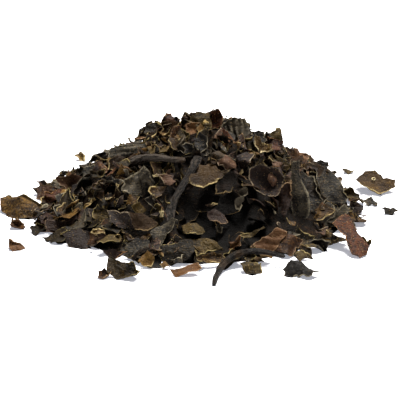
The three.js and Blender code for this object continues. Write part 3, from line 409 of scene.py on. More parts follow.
def bend(u, w, curvature):
    """A strip laid on an arc: a point at length u, raised by w, turns by u times the curvature."""
    if abs(curvature) < 1e-5:
        return u, w
    radius = 1 / curvature
    return (radius - w) * np.sin(u * curvature), radius - (radius - w) * np.cos(u * curvature)


# ---- The height map that pieces settle on -----------------------------------------------------

class HeightMap:
    """The top of what lies there, in cells of a millimetre; it starts under the outer form."""

    def __init__(self):
        line = np.arange(-FIELD_HALF, FIELD_HALF + 1)
        self.heights = np.maximum(0, mound_height(line[None], line[:, None]) - LAYER_DEPTH)

    def cells(self, x, y):
        """Rows and columns of the cells that hold the points."""
        return tuple(
            np.clip(np.floor(v + 0.5).astype(int) + FIELD_HALF, 0, 2 * FIELD_HALF) for v in (y, x)
        )

    def under(self, x, y, reach):
        """Mean height and slopes below a round footprint, from points on its rim."""
        bearing = 2 * math.pi * np.arange(GROUND_SAMPLES) / GROUND_SAMPLES
        dx, dy = reach * np.cos(bearing), reach * np.sin(bearing)
        heights = self.heights[self.cells(x + dx, y + dy)]
        spread = GROUND_SAMPLES / 2 * reach ** 2
        return heights.mean(), (heights * dx).sum() / spread, (heights * dy).sum() / spread

    def cover(self, flake):
        """Raises the map to the top of a flake, over its oval footprint."""
        reach = math.ceil(max(flake.length, flake.width) / 2)
        step = np.arange(-reach, reach + 1)
        x = np.floor(flake.at[0] + 0.5) + step[None] + 0 * step[:, None]
        y = np.floor(flake.at[1] + 0.5) + step[:, None] + 0 * step[None]
        offset = np.stack([x - flake.at[0], y - flake.at[1], 0 * x], -1)
        offset[..., 2] = -(offset @ flake.out) / flake.out[2]
        p, q = offset @ flake.along, offset @ flake.up
        inside = (2 * p / flake.length) ** 2 + (2 * q / flake.width) ** 2 < 1
        curl = (flake.roll_rate * q * q + flake.bow_rate * p * p) / 2 * flake.out[2]
        top = flake.at[2] + offset[..., 2] + curl + SOLID_THICKNESS / 2
        cells = self.cells(x[inside], y[inside])
        self.heights[cells] = np.maximum(self.heights[cells], top[inside])


# ---- Flakes: outline, axes and place ------------------------------------------------------------

def make_flake(corners, at, out, roll, bow, seed, spin=0):
    """A flake's own axes: out is square to its face, and along runs level, towards +X, until it
    is spun about out."""
    level = unit(np.array([1.0, 0, 0]) - out[0] * out)
    turn = math.radians(spin)
    along = math.cos(turn) * level + math.sin(turn) * np.cross(out, level)
    corners = np.array(corners, float)
    length, width = 2 * np.abs(corners).max(0)
    return SimpleNamespace(
        corners=corners, at=np.array(at, float), out=out, along=along, up=np.cross(out, along),
        length=length, width=width, seed=seed,
        roll_rate=math.radians(roll) / width, bow_rate=math.radians(bow) / length,
        wave=draw_from(SOLID_WAVE, seed, 21), phase=2 * math.pi * draw(seed, 22),
    )


def place_points(flake, p, q, w):
    """Points of the flat flake, raised by w: a wave grows towards both long edges, then it is
    rolled across, bowed along and set on its axes."""
    lifted = w + flake.wave * (2 * q / flake.width) * np.sin(5 * p / flake.length + flake.phase)
    across, rise = bend(q, lifted, flake.roll_rate)
    forward, height = bend(p, rise, flake.bow_rate)
    return (
        flake.at + forward[..., None] * flake.along
        + across[..., None] * flake.up + height[..., None] * flake.out
    )


def solid_points(flake):
    """The corners of the flake's solid: both faces, at the middle and on each of its rings."""
    flat = np.concatenate([[[0, 0]], *(ring * flake.corners for ring in SOLID_RINGS)])
    p, q = np.concatenate([flat, flat]).T
    w = np.repeat([SOLID_THICKNESS / 2, -SOLID_THICKNESS / 2], len(flat))
    return place_points(flake, p, q, w)


def drawn_corners(number, count, length, width, least=0.68):
    """Corners at drawn bearings and reaches inside an oval."""
    k = np.arange(count)
    bearing = 2 * math.pi * (k + 0.7 * draw(10 * number + k, 3)) / count
    reach = least + (1 - least) * draw(10 * number + k, 4)
    return np.stack(
        [length / 2 * reach * np.cos(bearing), width / 2 * reach * np.sin(bearing)], 1
    )


def leaning(ground, tilt, number):
    """The face's direction: square to the slope below, leaned by up to tilt on a drawn bearing,
    and less so near the foot of the heap."""
    height, slope_x, slope_y = ground
    freedom = min(1, (height + 1.5) / FOOT_HEIGHT)
    lean = math.tan(math.radians(tilt * freedom * math.sqrt(draw(number, 5))))
    heading = 2 * math.pi * draw(number, 6)
    return unit(np.array(
        [lean * math.cos(heading) - slope_x, lean * math.sin(heading) - slope_y, 1.0]
    ))


def packed_flake(order, ground_map):
    """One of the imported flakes: it lands on a spiral that fills the disc, settles on the slope,
    leans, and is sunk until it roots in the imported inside."""
    place = order * PACKED_STRIDE % PACKED_COUNT
    radius = PACKED_SPREAD * math.sqrt((place + 0.5) / PACKED_COUNT)
    angle = place * GOLDEN_ANGLE
    x = radius * math.cos(angle) + PACKED_JITTER * (draw(order, 11) - 0.5)
    y = radius * math.sin(angle) + PACKED_JITTER * (draw(order, 12) - 0.5)
    length = draw_from(PACKED_LENGTH, order, 1)
    width = length * draw_from(PACKED_SLENDER, order, 2)
    corners = drawn_corners(order, PACKED_CORNERS[order % len(PACKED_CORNERS)], length, width)
    ground = ground_map.under(x, y, 0.3 * length)
    flake = make_flake(
        corners, [x, y, ground[0] + draw_from(PACKED_LIFT, order, 9)],
        leaning(ground, PACKED_TILT, order), draw_from(PACKED_ROLL, order, 7),
        draw_from(PACKED_BOW, order, 8), order, 360 * draw(order, 10),
    )
    points = solid_points(flake)
    floor = mound_height(points[:, 0], points[:, 1]) - CORE_DEPTH - ROOT_DEPTH
    flake.at[2] -= max(0, (points[:, 2] - floor).min())
    flake.at[2] += max(0, -solid_points(flake)[:, 2].min() - FLOOR_PRESS)
    return flake


def row_flake(row, seed, ground_map=None):
    """A flake from a row of the tables, set on the heap or laid on the surface beside it."""
    _, _, (x, y), (steep, facing), (roll, bow), lift, corners = row
    steep, facing = math.radians(steep), math.radians(facing)
    out = np.array([
        math.sin(steep) * math.cos(facing), math.sin(steep) * math.sin(facing), math.cos(steep),
    ])
    height = ground_map.under(x, y, GROUND_REACH)[0] + lift if ground_map else 0
    flake = make_flake(corners, [x, y, height], out, roll, bow, seed)
    if not ground_map:
        flake.at[2] = -solid_points(flake)[:, 2].min() - FLOOR_PRESS
    return flake


# ---- Flakes: their finer surface ----------------------------------------------------------------

THICKNESS = 0.3
ARCH = (-0.06, 0.1)       # of a cut side, as a share of its length
ROUGH = ((2.6, 0.24), (1.1, 0.18), (0.5, 0.12))  # spacing and depth of the edge's roughness
TEARS = 3
TEAR_WIDTH = 0.7
TEAR_DEPTH = 0.16         # as a share of the flake's width
MARGIN_START = (0.35, 0.95)
LEAST_CURL = 0.08         # of the side that curls least, as a share of the one that curls most
CURL_PLACES = 9           # round the rim, where the curl grows or shrinks
SWELLS = 3
SWELL_HEIGHT = 0.012      # as a share of the flake's length
SWELL_SPACING = (0.5, 0.6)
CREASE_WIDTH = 0.07
CREASE_SLOPE = (-0.55, 1.1)
WRINKLE_SHARPNESS = 2.6   # more makes the wrinkles' crests narrower
GRAIN_SIZE = 0.8
RING_CROWDING = 1.5       # more than 1, so that rings lie closer near the rim
RIM_THINNING = 0.4        # share of the thickness that is lost at the rim
RIM_BULGE = 0.7           # of half the thickness
GRAIN_SHIFT = 73          # how far apart the patterns of two flakes may lie
FACE_SHIFT = 2.1          # how far apart those of a flake's two faces lie


def style_of(number, **changes):
    """How one flake differs from the next, drawn from its number unless it is given."""
    style = dict(
        thickness=THICKNESS,
        margin=draw_from((0.8, 1.6), number, 31),      # width that curls
        curl=draw_from((-50, 250), number, 32),
        facing=2 * math.pi * draw(number, 33),         # of the side that curls most
        crumple=draw_from((0.6, 0.8), number, 34),     # strength of its swells and creases
        bowl=draw_from((-0.4, 1.2), number, 36),       # height of the rim above the middle
        creases=3,
        wrinkle=(0.15, 1.7),                           # height and size
        ragged=1,
        grain=0.06,
        furrows=None,                                  # radians to the millimetre, bearing, height
        # The paler line at the cut edge is partly the cut's colour, partly painted highlight.
        rim=0.22,                                      # width of the paler line at the cut edge
        rim_even=0.12,                                 # its share all round, without facing
        shade=draw_from((-0.3, 1.6), number, 81),
        warmth=draw(number, 82),
    )
    style.update(changes)
    return SimpleNamespace(**style)


def cut_edge(flake, sectors, ragged):
    """The flat outline: points spread along the straight sides, each side arched by a sine, then
    roughened square to itself by noise of three sizes and a few tears, with every point but the
    corners eased."""
    corners, seed = flake.corners, flake.seed
    side = np.roll(corners, -1, 0) - corners
    lengths = np.hypot(*side.T)
    ends = np.concatenate([[0], np.cumsum(lengths)])
    total = ends[-1]
    places = total * np.arange(sectors) / sectors
    places[np.round(sectors * ends[:-1] / total).astype(int) % sectors] = ends[:-1]
    which = np.clip(np.searchsorted(ends, places, "right") - 1, 0, len(corners) - 1)
    share = (places - ends[which]) / lengths[which]
    outward = np.stack([side[which, 1], -side[which, 0]], 1) / lengths[which, None]
    move = lengths[which] * draw_from(ARCH, which + 10 * seed, 41) * np.sin(math.pi * share)
    turns = places / total
    for k, (spacing, depth) in enumerate(ROUGH):
        move += ragged * depth * noise_ring(turns, max(3, round(total / spacing)), seed + 42 + k)
    for k in range(TEARS):
        gap = total * np.abs((turns - draw(seed, 45 + k) + 0.5) % 1 - 0.5)
        depth = TEAR_DEPTH * flake.width * draw(seed, 48 + k) ** 2
        move -= ragged * depth * np.maximum(0, 1 - gap / TEAR_WIDTH)
    points = corners[which] + share[:, None] * side[which] + move[:, None] * outward
    eased = (np.roll(points, 1, 0) + 4 * points + np.roll(points, -1, 0)) / 6
    return np.where(share[:, None] > 0, eased, points)


def middle_surface(flake, edge, shares, style):
    """The flake's middle surface over rings and sectors. Past the start of its margin a point
    follows an arc that turns up; a shallow bowl, waves, straight creases, furrows, wrinkles and
    fine noise lift the rest."""
    seed = flake.seed
    reach = np.hypot(*edge.T)
    bearings = np.arctan2(edge[:, 1], edge[:, 0])
    start = np.clip(1 - style.margin / reach, *MARGIN_START)
    side = 0.5 + 0.5 * np.cos(bearings - style.facing)
    turn = math.radians(style.curl) * (LEAST_CURL + (1 - LEAST_CURL) * side ** 4)
    turns = bearings / (2 * math.pi) + 0.5
    turn = turn * (0.8 + 0.45 * noise_ring(turns, CURL_PLACES, seed + 35))
    past = np.maximum(0, shares[:, None] - start) * reach
    angle = turn * past / ((1 - start) * reach)
    share = np.minimum(shares[:, None], start) + past * np.sinc(angle / math.pi) / reach
    lift = past * angle / 2 * np.sinc(angle / (2 * math.pi)) ** 2
    p, q = share * edge[:, 0], share * edge[:, 1]
    lift = lift + style.bowl * ((2 * p / flake.length) ** 2 + (2 * q / flake.width) ** 2 - 0.5)
    for k in range(SWELLS):
        heading = 2 * math.pi * draw(seed, 51 + k)
        spacing = flake.length * draw_from(SWELL_SPACING, seed, 54 + k)
        lift = lift + SWELL_HEIGHT * style.crumple * flake.length * np.sin(
            2 * math.pi * ((p * math.cos(heading) + q * math.sin(heading)) / spacing
                           + draw(seed, 57 + k)))
    for k in range(style.creases):
        heading = math.pi * draw(seed, 61 + k)
        offset = 0.3 * flake.width * (draw(seed, 64 + k) - 0.5)
        slope = style.crumple * draw_from(CREASE_SLOPE, seed, 67 + k)
        fold = np.hypot(p * math.cos(heading) + q * math.sin(heading) - offset, CREASE_WIDTH)
        lift = lift + slope * (fold - 0.2 * flake.width)
    if style.furrows:
        rate, bearing, depth = style.furrows
        across = p * math.cos(math.radians(bearing)) + q * math.sin(math.radians(bearing))
        lift = lift + depth * np.sin(rate * across + 0.8 * np.sin(p + q + seed))
    height, size = style.wrinkle
    pinch = np.abs(noise_sheet(p / size + 31, q / size + 17, seed + 71))
    lift = lift + height * (1 - np.minimum(1, WRINKLE_SHARPNESS * pinch))
    lift = lift + style.grain * noise_sheet(p / GRAIN_SIZE, q / GRAIN_SIZE, seed + 70)
    return p, q, place_points(flake, p, q, lift)


def shell_of(points, triangles, quads, tint, grain):
    """A closed shell: its points and faces, its shade, rim and warmth, each for the whole or
    point by point, and the place of each point in the patterns of its finish."""
    shade, rim, warmth = tint
    # The third channel becomes painted shade in the finishes.
    tints = np.zeros((len(points), 4))  # the third is how deep a point is sunk, written later
    tints[:, 0], tints[:, 1], tints[:, 3] = shade, rim, warmth
    return SimpleNamespace(
        points=points, triangles=triangles, quads=quads, tint=tints, grain=grain,
    )


def grid_quads(start, rows, columns):
    """Faces of a grid that closes round its columns, from the index of its first point."""
    k = np.arange(columns)
    following = (k + 1) % columns
    near = start + columns * np.arange(rows)[:, None]
    return np.stack([
        near + k, near + columns + k, near + columns + following, near + following,
    ], -1).reshape(-1, 4)


def flake_shell(flake, sectors, rings, style):
    """The closed shell of a flake: its middle surface moved half its thickness along its own
    normals to each side, and joined by a rim that bulges."""
    edge = cut_edge(flake, sectors, style.ragged)
    shares = 1 - (1 - np.arange(rings + 1) / rings) ** RING_CROWDING
    p, q, middle = middle_surface(flake, edge, shares, style)
    ahead = np.gradient(middle, axis=0)
    round_it = np.roll(middle, -1, 1) - np.roll(middle, 1, 1)
    normals = unit(np.cross(ahead, round_it))
    normals[0] = unit(normals[1].mean(0))
    half = style.thickness / 2 * (1 - RIM_THINNING * shares[:, None] ** 6) + 0 * p
    top = middle + half[..., None] * normals
    under = middle - half[..., None] * normals
    rim = middle[-1] + RIM_BULGE * half[-1, :, None] * unit(ahead[-1])
    points = np.concatenate([
        top[0, :1], top[1:].reshape(-1, 3), under[0, :1], under[1:].reshape(-1, 3), rim,
    ])
    face = 1 + rings * sectors
    last = face - sectors
    k = np.arange(sectors)
    following = (k + 1) % sectors
    fan = np.stack([0 * k, 1 + k, 1 + following], 1)
    strips = grid_quads(1, rings - 1, sectors)
    walls = [
        np.stack([a + k, b + k, b + following, a + following], 1)
        for a, b in ((last, 2 * face), (2 * face, face + last))
    ]
    flat = np.concatenate([[[p[0, 0], q[0, 0]]], np.stack([p[1:], q[1:]], -1).reshape(-1, 2)])
    flat = np.concatenate([flat, flat, flat[-sectors:]])
    # The paler line at the cut edge, strongest on the facing side: partly the cut's colour, partly
    # painted highlight.
    from_rim = (1 - shares[:, None]) * np.hypot(*edge.T)
    pale = 0.5 + 0.5 * np.cos(np.arctan2(edge[:, 1], edge[:, 0]) - style.facing)
    pale = style.rim_even + (1 - style.rim_even) * pale ** 2
    near_rim = pale * np.exp(-(from_rim / style.rim) ** 2)
    near_rim = np.concatenate([near_rim[0, :1], near_rim[1:].ravel()])
    near_rim = np.concatenate([near_rim, near_rim, pale])
    below = np.repeat([0.0, 1.0, 0.5], [face, face, sectors])
    shift = GRAIN_SHIFT * draw(flake.seed, 83) + FACE_SHIFT * below
    return shell_of(
        points, np.concatenate([fan, fan[:, ::-1] + face]),
        np.concatenate([strips, strips[:, ::-1] + face, *walls]),
        (style.shade, near_rim, style.warmth), np.column_stack([flat, shift]),
    )


# ---- Stalks -------------------------------------------------------------------------------------

def spline(nodes, places):
    """A smooth line through the points: on each span, the cubic whose slopes at both ends follow
    from the neighbours."""
    nodes = np.asarray(nodes, float)
    padded = np.vstack([2 * nodes[0] - nodes[1], nodes, 2 * nodes[-1] - nodes[-2]])
    span = np.minimum(places.astype(int), len(nodes) - 2)
    t = (places - span)[:, None]
    a, b, c, d = (padded[span + k] for k in range(4))
    return 0.5 * (2 * b + (c - a) * t + (2 * a - 5 * b + 4 * c - d) * t ** 2
                  + (3 * b - a - 3 * c + d) * t ** 3)


NOSE = 0.35               # length of a stalk's rounded end, as a share of its thickness
STALK_GRAIN_SHIFT = 7.3


def stalk_shell(rows, ground_map, seed, sides=40, steps=110, wrinkle=0.1):
    """A closed, oval tube through the points: its radius is wrinkled along its length by sines
    round it that drift, roughened by noise, and rounded in at both ends by a quarter circle."""
    rows = np.array(rows, float)
    nodes = rows[:, :3].copy()
    if ground_map:
        nodes[:, 2] += [ground_map.under(x, y, GROUND_REACH)[0] for x, y in rows[:, :2]]
    places = np.linspace(0, len(rows) - 1, steps + 1)
    middle = spline(nodes, places)
    tangent = unit(np.gradient(middle, axis=0))
    across = unit(np.cross([0.0, 0, 1], tangent))
    over = np.cross(tangent, across)
    gone = np.concatenate([[0], np.cumsum(np.linalg.norm(np.diff(middle, axis=0), axis=1))])
    width, depth = (np.interp(places, np.arange(len(rows)), rows[:, c]) / 2 for c in (3, 4))
    near_end = np.minimum(gone, gone[-1] - gone) / (NOSE * 2 * depth.mean())
    closing = np.sqrt(np.clip(1 - (1 - np.clip(near_end, 0, 1)) ** 2, 0.004, 1))[:, None]
    angle = 2 * math.pi * np.arange(sides)[None] / sides
    drift = 0.35 * np.sin(0.5 * gone[:, None] + seed) + 0.06 * gone[:, None]
    down = gone[:, None] + 0 * angle
    ridges = (0.5 * np.sin(5 * (angle + drift)) + 0.35 * np.sin(9 * (angle - drift) + seed)
              + 0.5 * noise_sheet(2.5 * np.cos(angle) + 9, 0.8 * down, seed + 90)
              + 0.3 * noise_sheet(5 * np.sin(angle) + 9, 2.2 * down, seed + 91)
              + 0.9 * noise_sheet(0.45 * down + 3, 0 * angle, seed + 92))
    radius = closing * (1 + wrinkle * ridges)
    points = (
        middle[:, None] + (radius * width[:, None] * np.cos(angle))[..., None] * across[:, None]
        + (radius * depth[:, None] * np.sin(angle))[..., None] * over[:, None]
    )
    quads = np.roll(grid_quads(0, steps, sides)[:, ::-1], 1, 1)
    k = np.arange(sides)
    following = (k + 1) % sides
    count = points.shape[0] * sides
    last = count - sides
    triangles = np.concatenate([
        np.stack([0 * k + count, following, k], 1),
        np.stack([0 * k + count + 1, last + k, last + following], 1),
    ])
    ends = [points[0].mean(0)], [points[-1].mean(0)]
    grain = np.stack([down, width.mean() * angle + 0 * down], -1)
    grain = np.concatenate([grain.reshape(-1, 2), np.zeros((2, 2))])
    # Crests of the ridges, which the finish paints paler as highlight.
    raised = np.concatenate([np.clip(ridges - 0.45, 0, 1).ravel(), [0, 0]])
    shift = STALK_GRAIN_SHIFT * draw(seed, 83) + 0 * raised
    return shell_of(
        np.concatenate([points.reshape(-1, 3), *ends]), triangles, quads,
        (0.5, raised, draw(seed, 82)), np.column_stack([grain, shift]),
    )


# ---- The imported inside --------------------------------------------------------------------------

def core_shell(rings, sectors, depth, foot):
    """The dark inside: a polar grid that follows the outer form from below, made uneven by noise
    of two sizes, and closed by a flat base."""
    shares = np.linspace(0, 1, rings + 1)[1:, None]
    bearing = 2 * math.pi * np.arange(sectors)[None] / sectors
    radius = foot * HEAP_RADIUS * shares
    x, y = radius * np.cos(bearing), radius * np.sin(bearing)
    rough = 0.9 * noise_sheet(x / 4, y / 4, 95.5) + 0.5 * noise_sheet(x / 1.7, y / 1.7, 96.5)
    level = mound_height(x, y) - depth - hollow_depth(x, y)
    z = np.maximum(0.3 * (1 - shares) + 0.05, level + rough)  # least height, for a closed solid
    top = np.stack([x, y, z], -1).reshape(-1, 3)
    base = np.column_stack([x[-1], y[-1], 0 * x[-1] + 0.02])
    points = np.concatenate([[[0, 0, mound_height(0, 0) - depth]], top, base, [[0, 0, 0.02]]])
    k = np.arange(sectors)
    following = (k + 1) % sectors
    under = 1 + rings * sectors
    triangles = np.concatenate([
        np.stack([0 * k, 1 + k, 1 + following], 1),
        np.stack([0 * k + len(points) - 1, under + following, under + k], 1),
    ])
    return shell_of(
        points, triangles, grid_quads(1, rings, sectors), (0.2, 0, 0.5), points.copy(),
    )


# ---- Finishes -----------------------------------------------------------------------------------

class Socket:
    """A node's output, on which arithmetic adds Math nodes."""

    def __init__(self, finish, socket):
        self.finish, self.socket = finish, socket

    def __add__(self, other):
        return self.finish.maths("ADD", self, other)

    def __sub__(self, other):
        return self.finish.maths("SUBTRACT", self, other)

    def __rsub__(self, other):
        return self.finish.maths("SUBTRACT", other, self)

    def __mul__(self, other):
        return self.finish.maths("MULTIPLY", self, other)

    __radd__, __rmul__ = __add__, __mul__

    def within(self):
        """Held from 0 to 1."""
        return self.finish.maths("ADD", self, 0, use_clamp=True)

    def out(self, name):
        """Another output of the same node."""
        return Socket(self.finish, self.socket.node.outputs[name])


class Finish:
    """A material under construction."""

    def __init__(self, name):
        self.material = bpy.data.materials.new(name)
        self.material.use_nodes = True
        self.tree = self.material.node_tree
        self.tree.nodes.clear()

    def node(self, kind, settings=None, inputs=None, output=0):
        """Adds a node: its settings first, then the values or links of its inputs."""
        made = self.tree.nodes.new("ShaderNode" + kind)
        for key, value in (settings or {}).items():
            setattr(made, key, value)
        for key, value in (inputs or {}).items():
            if isinstance(value, Socket):
                self.tree.links.new(value.socket, made.inputs[key])
            else:
                made.inputs[key].default_value = value
        return Socket(self, made.outputs[output]) if made.outputs else None

    def maths(self, operation, first, second, use_clamp=False):
        settings = {"operation": operation, "use_clamp": use_clamp}
        return self.node("Math", settings, {0: first, 1: second})

    def mix(self, factor, first, second):
        """One colour fading into another."""
        return self.node("Mix", {"data_type": "RGBA"}, {0: factor, 6: first, 7: second}, 2)

    def stretched(self, vector, scale):
        """A pattern's place, scaled along each of its axes."""
        return self.node("VectorMath", {"operation": "MULTIPLY"}, {0: vector, 1: scale})

    def noise(self, vector, scale, detail=3.0, roughness=0.55):
        return self.node("TexNoise", None, {
            "Vector": vector, "Scale": scale, "Detail": detail, "Roughness": roughness,
        })

    def surface(self, **inputs):
        """The shader and its output; the names of its inputs are given with underscores."""
        named = {key.replace("_", " "): value for key, value in inputs.items()}
        shader = self.node("BsdfPrincipled", None, named)
        self.node("OutputMaterial", None, {"Surface": shader})
        return self.material


def rgb(code, gain=0.7):
    """A colour's linear values, from its hexadecimal display code."""
    parts = [int(code[k:k + 2], 16) / 255 for k in (0, 2, 4)]
    linear = [(c / 12.92 if c <= 0.04045 else ((c + 0.055) / 1.055) ** 2.4) * gain for c in parts]
    return (*linear, 1.0)


SALT_COLOUR = "b89a66"
# Colour of the painted shade that darkens what lies deep in the heap.
SUNK_SHADE_COLOUR = "040302"

# The noises that the finishes are made of: scale, detail and roughness of each, and how much the
# ones that run along a piece are drawn out.
CLOUDS = (0.34, 4.0, 0.62)
PATCHES = (0.19, 3.0, 0.5)
GRAINS = (1.9, 3.0, 0.62)
FIBRES = (1.1, 4.0, 0.65)
FIBRE_STRETCH = (0.5, 2.6, 1.0)
STALK_CLOUDS = (0.22, 3.0, 0.5)
STALK_GRAINS = (2.0, 3.0, 0.6)
STREAKS = (1.1, 4.0, 0.7)
STREAK_STRETCH = (0.6, 2.0, 1.0)
SALT_SCALE = 1.5
SALT_REACH = 0.26         # of a speck, as a share of the distance between two


def attributes(finish):
    """A piece's own attributes: its place in the patterns, its shade, the nearness of a cut edge or
    a crest, which is painted paler partly as highlight, how deep it is sunk, which is painted darker
    as shade, and its warmth."""
    grain = finish.node("Attribute", {"attribute_name": "grain"}, output="Vector")
    tint = finish.node("Attribute", {"attribute_name": "tint"}, output="Color")
    shade = finish.node("SeparateColor", None, {"Color": tint}, "Red")
    return grain, shade, shade.out("Green"), shade.out("Blue"), tint.out("Alpha")


def frond_finish(name, deep, pale, warm, edge, edge_line_and_highlight, gloss, speckled):
    """Dried frond: a clouded mix of two shades of a tone, with patches of a warmer one, pale salt
    specks, fine grain and wrinkles, a lighter line along the cut edge that is partly the cut's own
    colour and partly painted highlight, and painted shade where it lies deep."""
    finish = Finish(name)
    grain, shade, near_rim, sunk, warmth = attributes(finish)
    deep, pale, warm, edge = (rgb(code) for code in (deep, pale, warm, edge))
    cloud = finish.noise(grain, *CLOUDS)
    patch = finish.noise(grain, *PATCHES).out("Color")
    patch = finish.node("SeparateColor", None, {"Color": patch}, "Green")
    fine = finish.noise(grain, *GRAINS)
    fibres = finish.noise(finish.stretched(grain, FIBRE_STRETCH), *FIBRES)

    lit = (cloud - 0.5) * 4.0 + (fine - 0.5) * 3.6 + (fibres - 0.5) * 1.4
    lit = (lit + (shade - 0.5) * 1.2 + 0.26).within()
    warmed = ((patch - 0.52) * 5.0 + (warmth - 0.55) * 1.6 + (fine - 0.5) * 1.2).within()
    warm = finish.mix(lit * 0.8 + 0.2, deep, warm)
    colour = finish.mix(warmed * 0.8, finish.mix(lit, deep, pale), warm)

    dots = finish.node("TexVoronoi", None, {"Vector": grain, "Scale": SALT_SCALE})
    dots = ((SALT_REACH - dots) * 8.0).within() * ((fine - 0.43) * 7.0).within()
    colour = finish.mix(dots * (shade * 0.5 + 0.7).within() * speckled, colour, rgb(SALT_COLOUR))
    # The paler line at the cut edge: partly the cut tissue's colour, partly painted highlight.
    ragged_line = ((fine - 0.5) * 4.0 + (cloud - 0.5) * 3.0 + near_rim * 0.9).within()
    line = (near_rim * 1.4 - 0.25).within() * ragged_line
    colour = finish.mix(line * edge_line_and_highlight, colour, edge)
    # Painted shade: the deeper below the top of the heap, the darker.
    colour = finish.mix(sunk * 0.9, colour, rgb(SUNK_SHADE_COLOUR))

    height = cloud * 0.5 + fibres * 0.4 + fine * 0.6 - dots * 0.15
    bump = finish.node("Bump", None, {"Strength": 0.8, "Distance": 0.0008, "Height": height})
    return finish.surface(
        Base_Color=colour, Roughness=(0.4 + fine * 0.3).within(), Normal=bump,
        Specular_IOR_Level=gloss,
    )


def stalk_finish(name, deep, pale, warm):
    """Dried stalk: wrinkled along its length, with painted shade in the wrinkles and painted
    highlight on their crests, and painted shade where it lies deep.
    """
    finish = Finish(name)
    grain, shade, crest, sunk, _ = attributes(finish)
    streaks = finish.noise(finish.stretched(grain, STREAK_STRETCH), *STREAKS)
    fine = finish.noise(grain, *STALK_GRAINS)
    cloud = finish.noise(grain, *STALK_CLOUDS)
    # Crests painted paler, as highlight.
    lit = (streaks - 0.5) * 3.6 + crest * 0.8 + (fine - 0.5) * 3.0
    lit = (lit + (shade - 0.5) * 0.8 + 0.34).within()
    colour = finish.mix(lit, rgb(deep), rgb(pale))
    colour = finish.mix(((cloud - 0.54) * 6.0).within() * 0.6, colour, rgb(warm))
    # Painted shade: the deeper below the top of the heap, the darker.
    colour = finish.mix(sunk * 0.85, colour, rgb(SUNK_SHADE_COLOUR))
    bump = finish.node("Bump", None, {
        "Strength": 0.9, "Distance": 0.0011, "Height": streaks * 0.8 + fine * 0.5,
    })
    return finish.surface(
        Base_Color=colour, Roughness=(0.36 + fine * 0.3).within(), Normal=bump,
        Specular_IOR_Level=0.12,
    )


# The tones of frond: its deep, pale and warm colours and that of the line at the cut edge, which is
# partly painted highlight, as display codes, then how strong the edge's line is, how glossy the
# frond and how speckled.
FROND_TONES = {
    "dark": ("090502", "2e2114", "341e0a", "9a825a", 0.7, 0.05, 0.15),
    "grey": ("14110d", "463f32", "342614", "b8ac90", 0.7, 0.12, 0.4),
    "olive": ("120c02", "443618", "4c380e", "bca870", 0.75, 0.11, 0.35),
    "rust": ("22130a", "56391f", "5e3c16", "c4a27a", 0.7, 0.13, 0.35),
    "maroon": ("1b110b", "503828", "422a16", "b8a486", 0.7, 0.13, 0.6),
    "red": ("1e0c04", "4e2a14", "582f10", "b48452", 0.7, 0.13, 0.6),
    "gold": ("241502", "5a401a", "6e5018", "d0b880", 0.9, 0.13, 0.6),
    "cream": ("3c2a10", "8c7440", "86642a", "e6d4a4", 0.9, 0.13, 0.6),
}
FINISHES = {tone: frond_finish(tone + "_frond", *row) for tone, row in FROND_TONES.items()}
FINISHES["stalk"] = stalk_finish("dried_stalk", "0a0705", "443c34", "38260f")
SLOTS = {tone: tone + "_flake" for tone in FINISHES}
SLOTS.update(stalk="stalk", cream="gold_flake")

# Shown flakes that are finished otherwise than the rest of their tone.
OTHER_FINISHES = {
    "vee_right": "cream", "curl_behind": "cream", "pale_tip": "cream", "pale_spur": "cream",
    "pale_peak": "cream", "far_right": "gold", "cup_right": "maroon", "strap_right": "red",
}


# ---- Building the pieces ------------------------------------------------------------------------

FLOOR_CLEARANCE = 0.02
# Painted shade darkens deep points over this span of depth.
SUNK_SHADE_SPAN = (1.0, 4.5)    # depths below the top of the heap, from where it darkens to its darkest
SHARP_FROM = 55


def write_piece(name, shells, tone, *nodes, finish=None):
    """Joins closed shells into one mesh in metres, with the attributes that its finish reads."""
    starts = np.cumsum([0] + [len(shell.points) for shell in shells[:-1]])
    points = np.concatenate([shell.points for shell in shells])
    points[:, 2] = np.maximum(points[:, 2], FLOOR_CLEARANCE)
    tints = np.concatenate([shell.tint for shell in shells])
    # Painted shade: how far a point lies below the top of the heap sets how much its finish darkens
    # it.
    depth = ground.heights[ground.cells(*points[:, :2].T)] - points[:, 2]
    tints[:, 2] = ease((depth - SUNK_SHADE_SPAN[0]) / (SUNK_SHADE_SPAN[1] - SUNK_SHADE_SPAN[0]))
    triangles = np.concatenate([shell.triangles + start for shell, start in zip(shells, starts)])
    quads = np.concatenate([shell.quads + start for shell, start in zip(shells, starts)])
    mesh = bpy.data.meshes.new(name)
    mesh.vertices.add(len(points))
    mesh.vertices.foreach_set("co", (points * MM).astype(np.float32).ravel())
    loops = np.concatenate([triangles.ravel(), quads.ravel()]).astype(np.int32)
    mesh.loops.add(len(loops))
    mesh.loops.foreach_set("vertex_index", loops)
    mesh.polygons.add(len(triangles) + len(quads))
    mesh.polygons.foreach_set("loop_start", np.concatenate([
        3 * np.arange(len(triangles)), 3 * len(triangles) + 4 * np.arange(len(quads)),
    ]).astype(np.int32))
    mesh.update(calc_edges=True)
    grains = np.concatenate([shell.grain for shell in shells])
    for label, kind, key, values in (
        ("tint", "FLOAT_COLOR", "color", tints), ("grain", "FLOAT_VECTOR", "vector", grains),
    ):
        attribute = mesh.attributes.new(label, kind, "POINT")
        attribute.data.foreach_set(key, values.astype(np.float32).ravel())
    mesh.shade_smooth()
    mesh.set_sharp_from_angle(angle=math.radians(SHARP_FROM))
    mesh.materials.append(FINISHES[finish or tone])
    piece = bpy.data.objects.new(name, mesh)
    bpy.context.scene.collection.objects.link(piece)
    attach(piece, "root")
    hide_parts(*nodes)


def tone_of(number, shares):
    """A tone drawn by its share."""
    names = list(shares)
    ends = np.cumsum(list(shares.values()))
    return names[int(np.searchsorted(ends, draw(number, 80) * ends[-1]))]


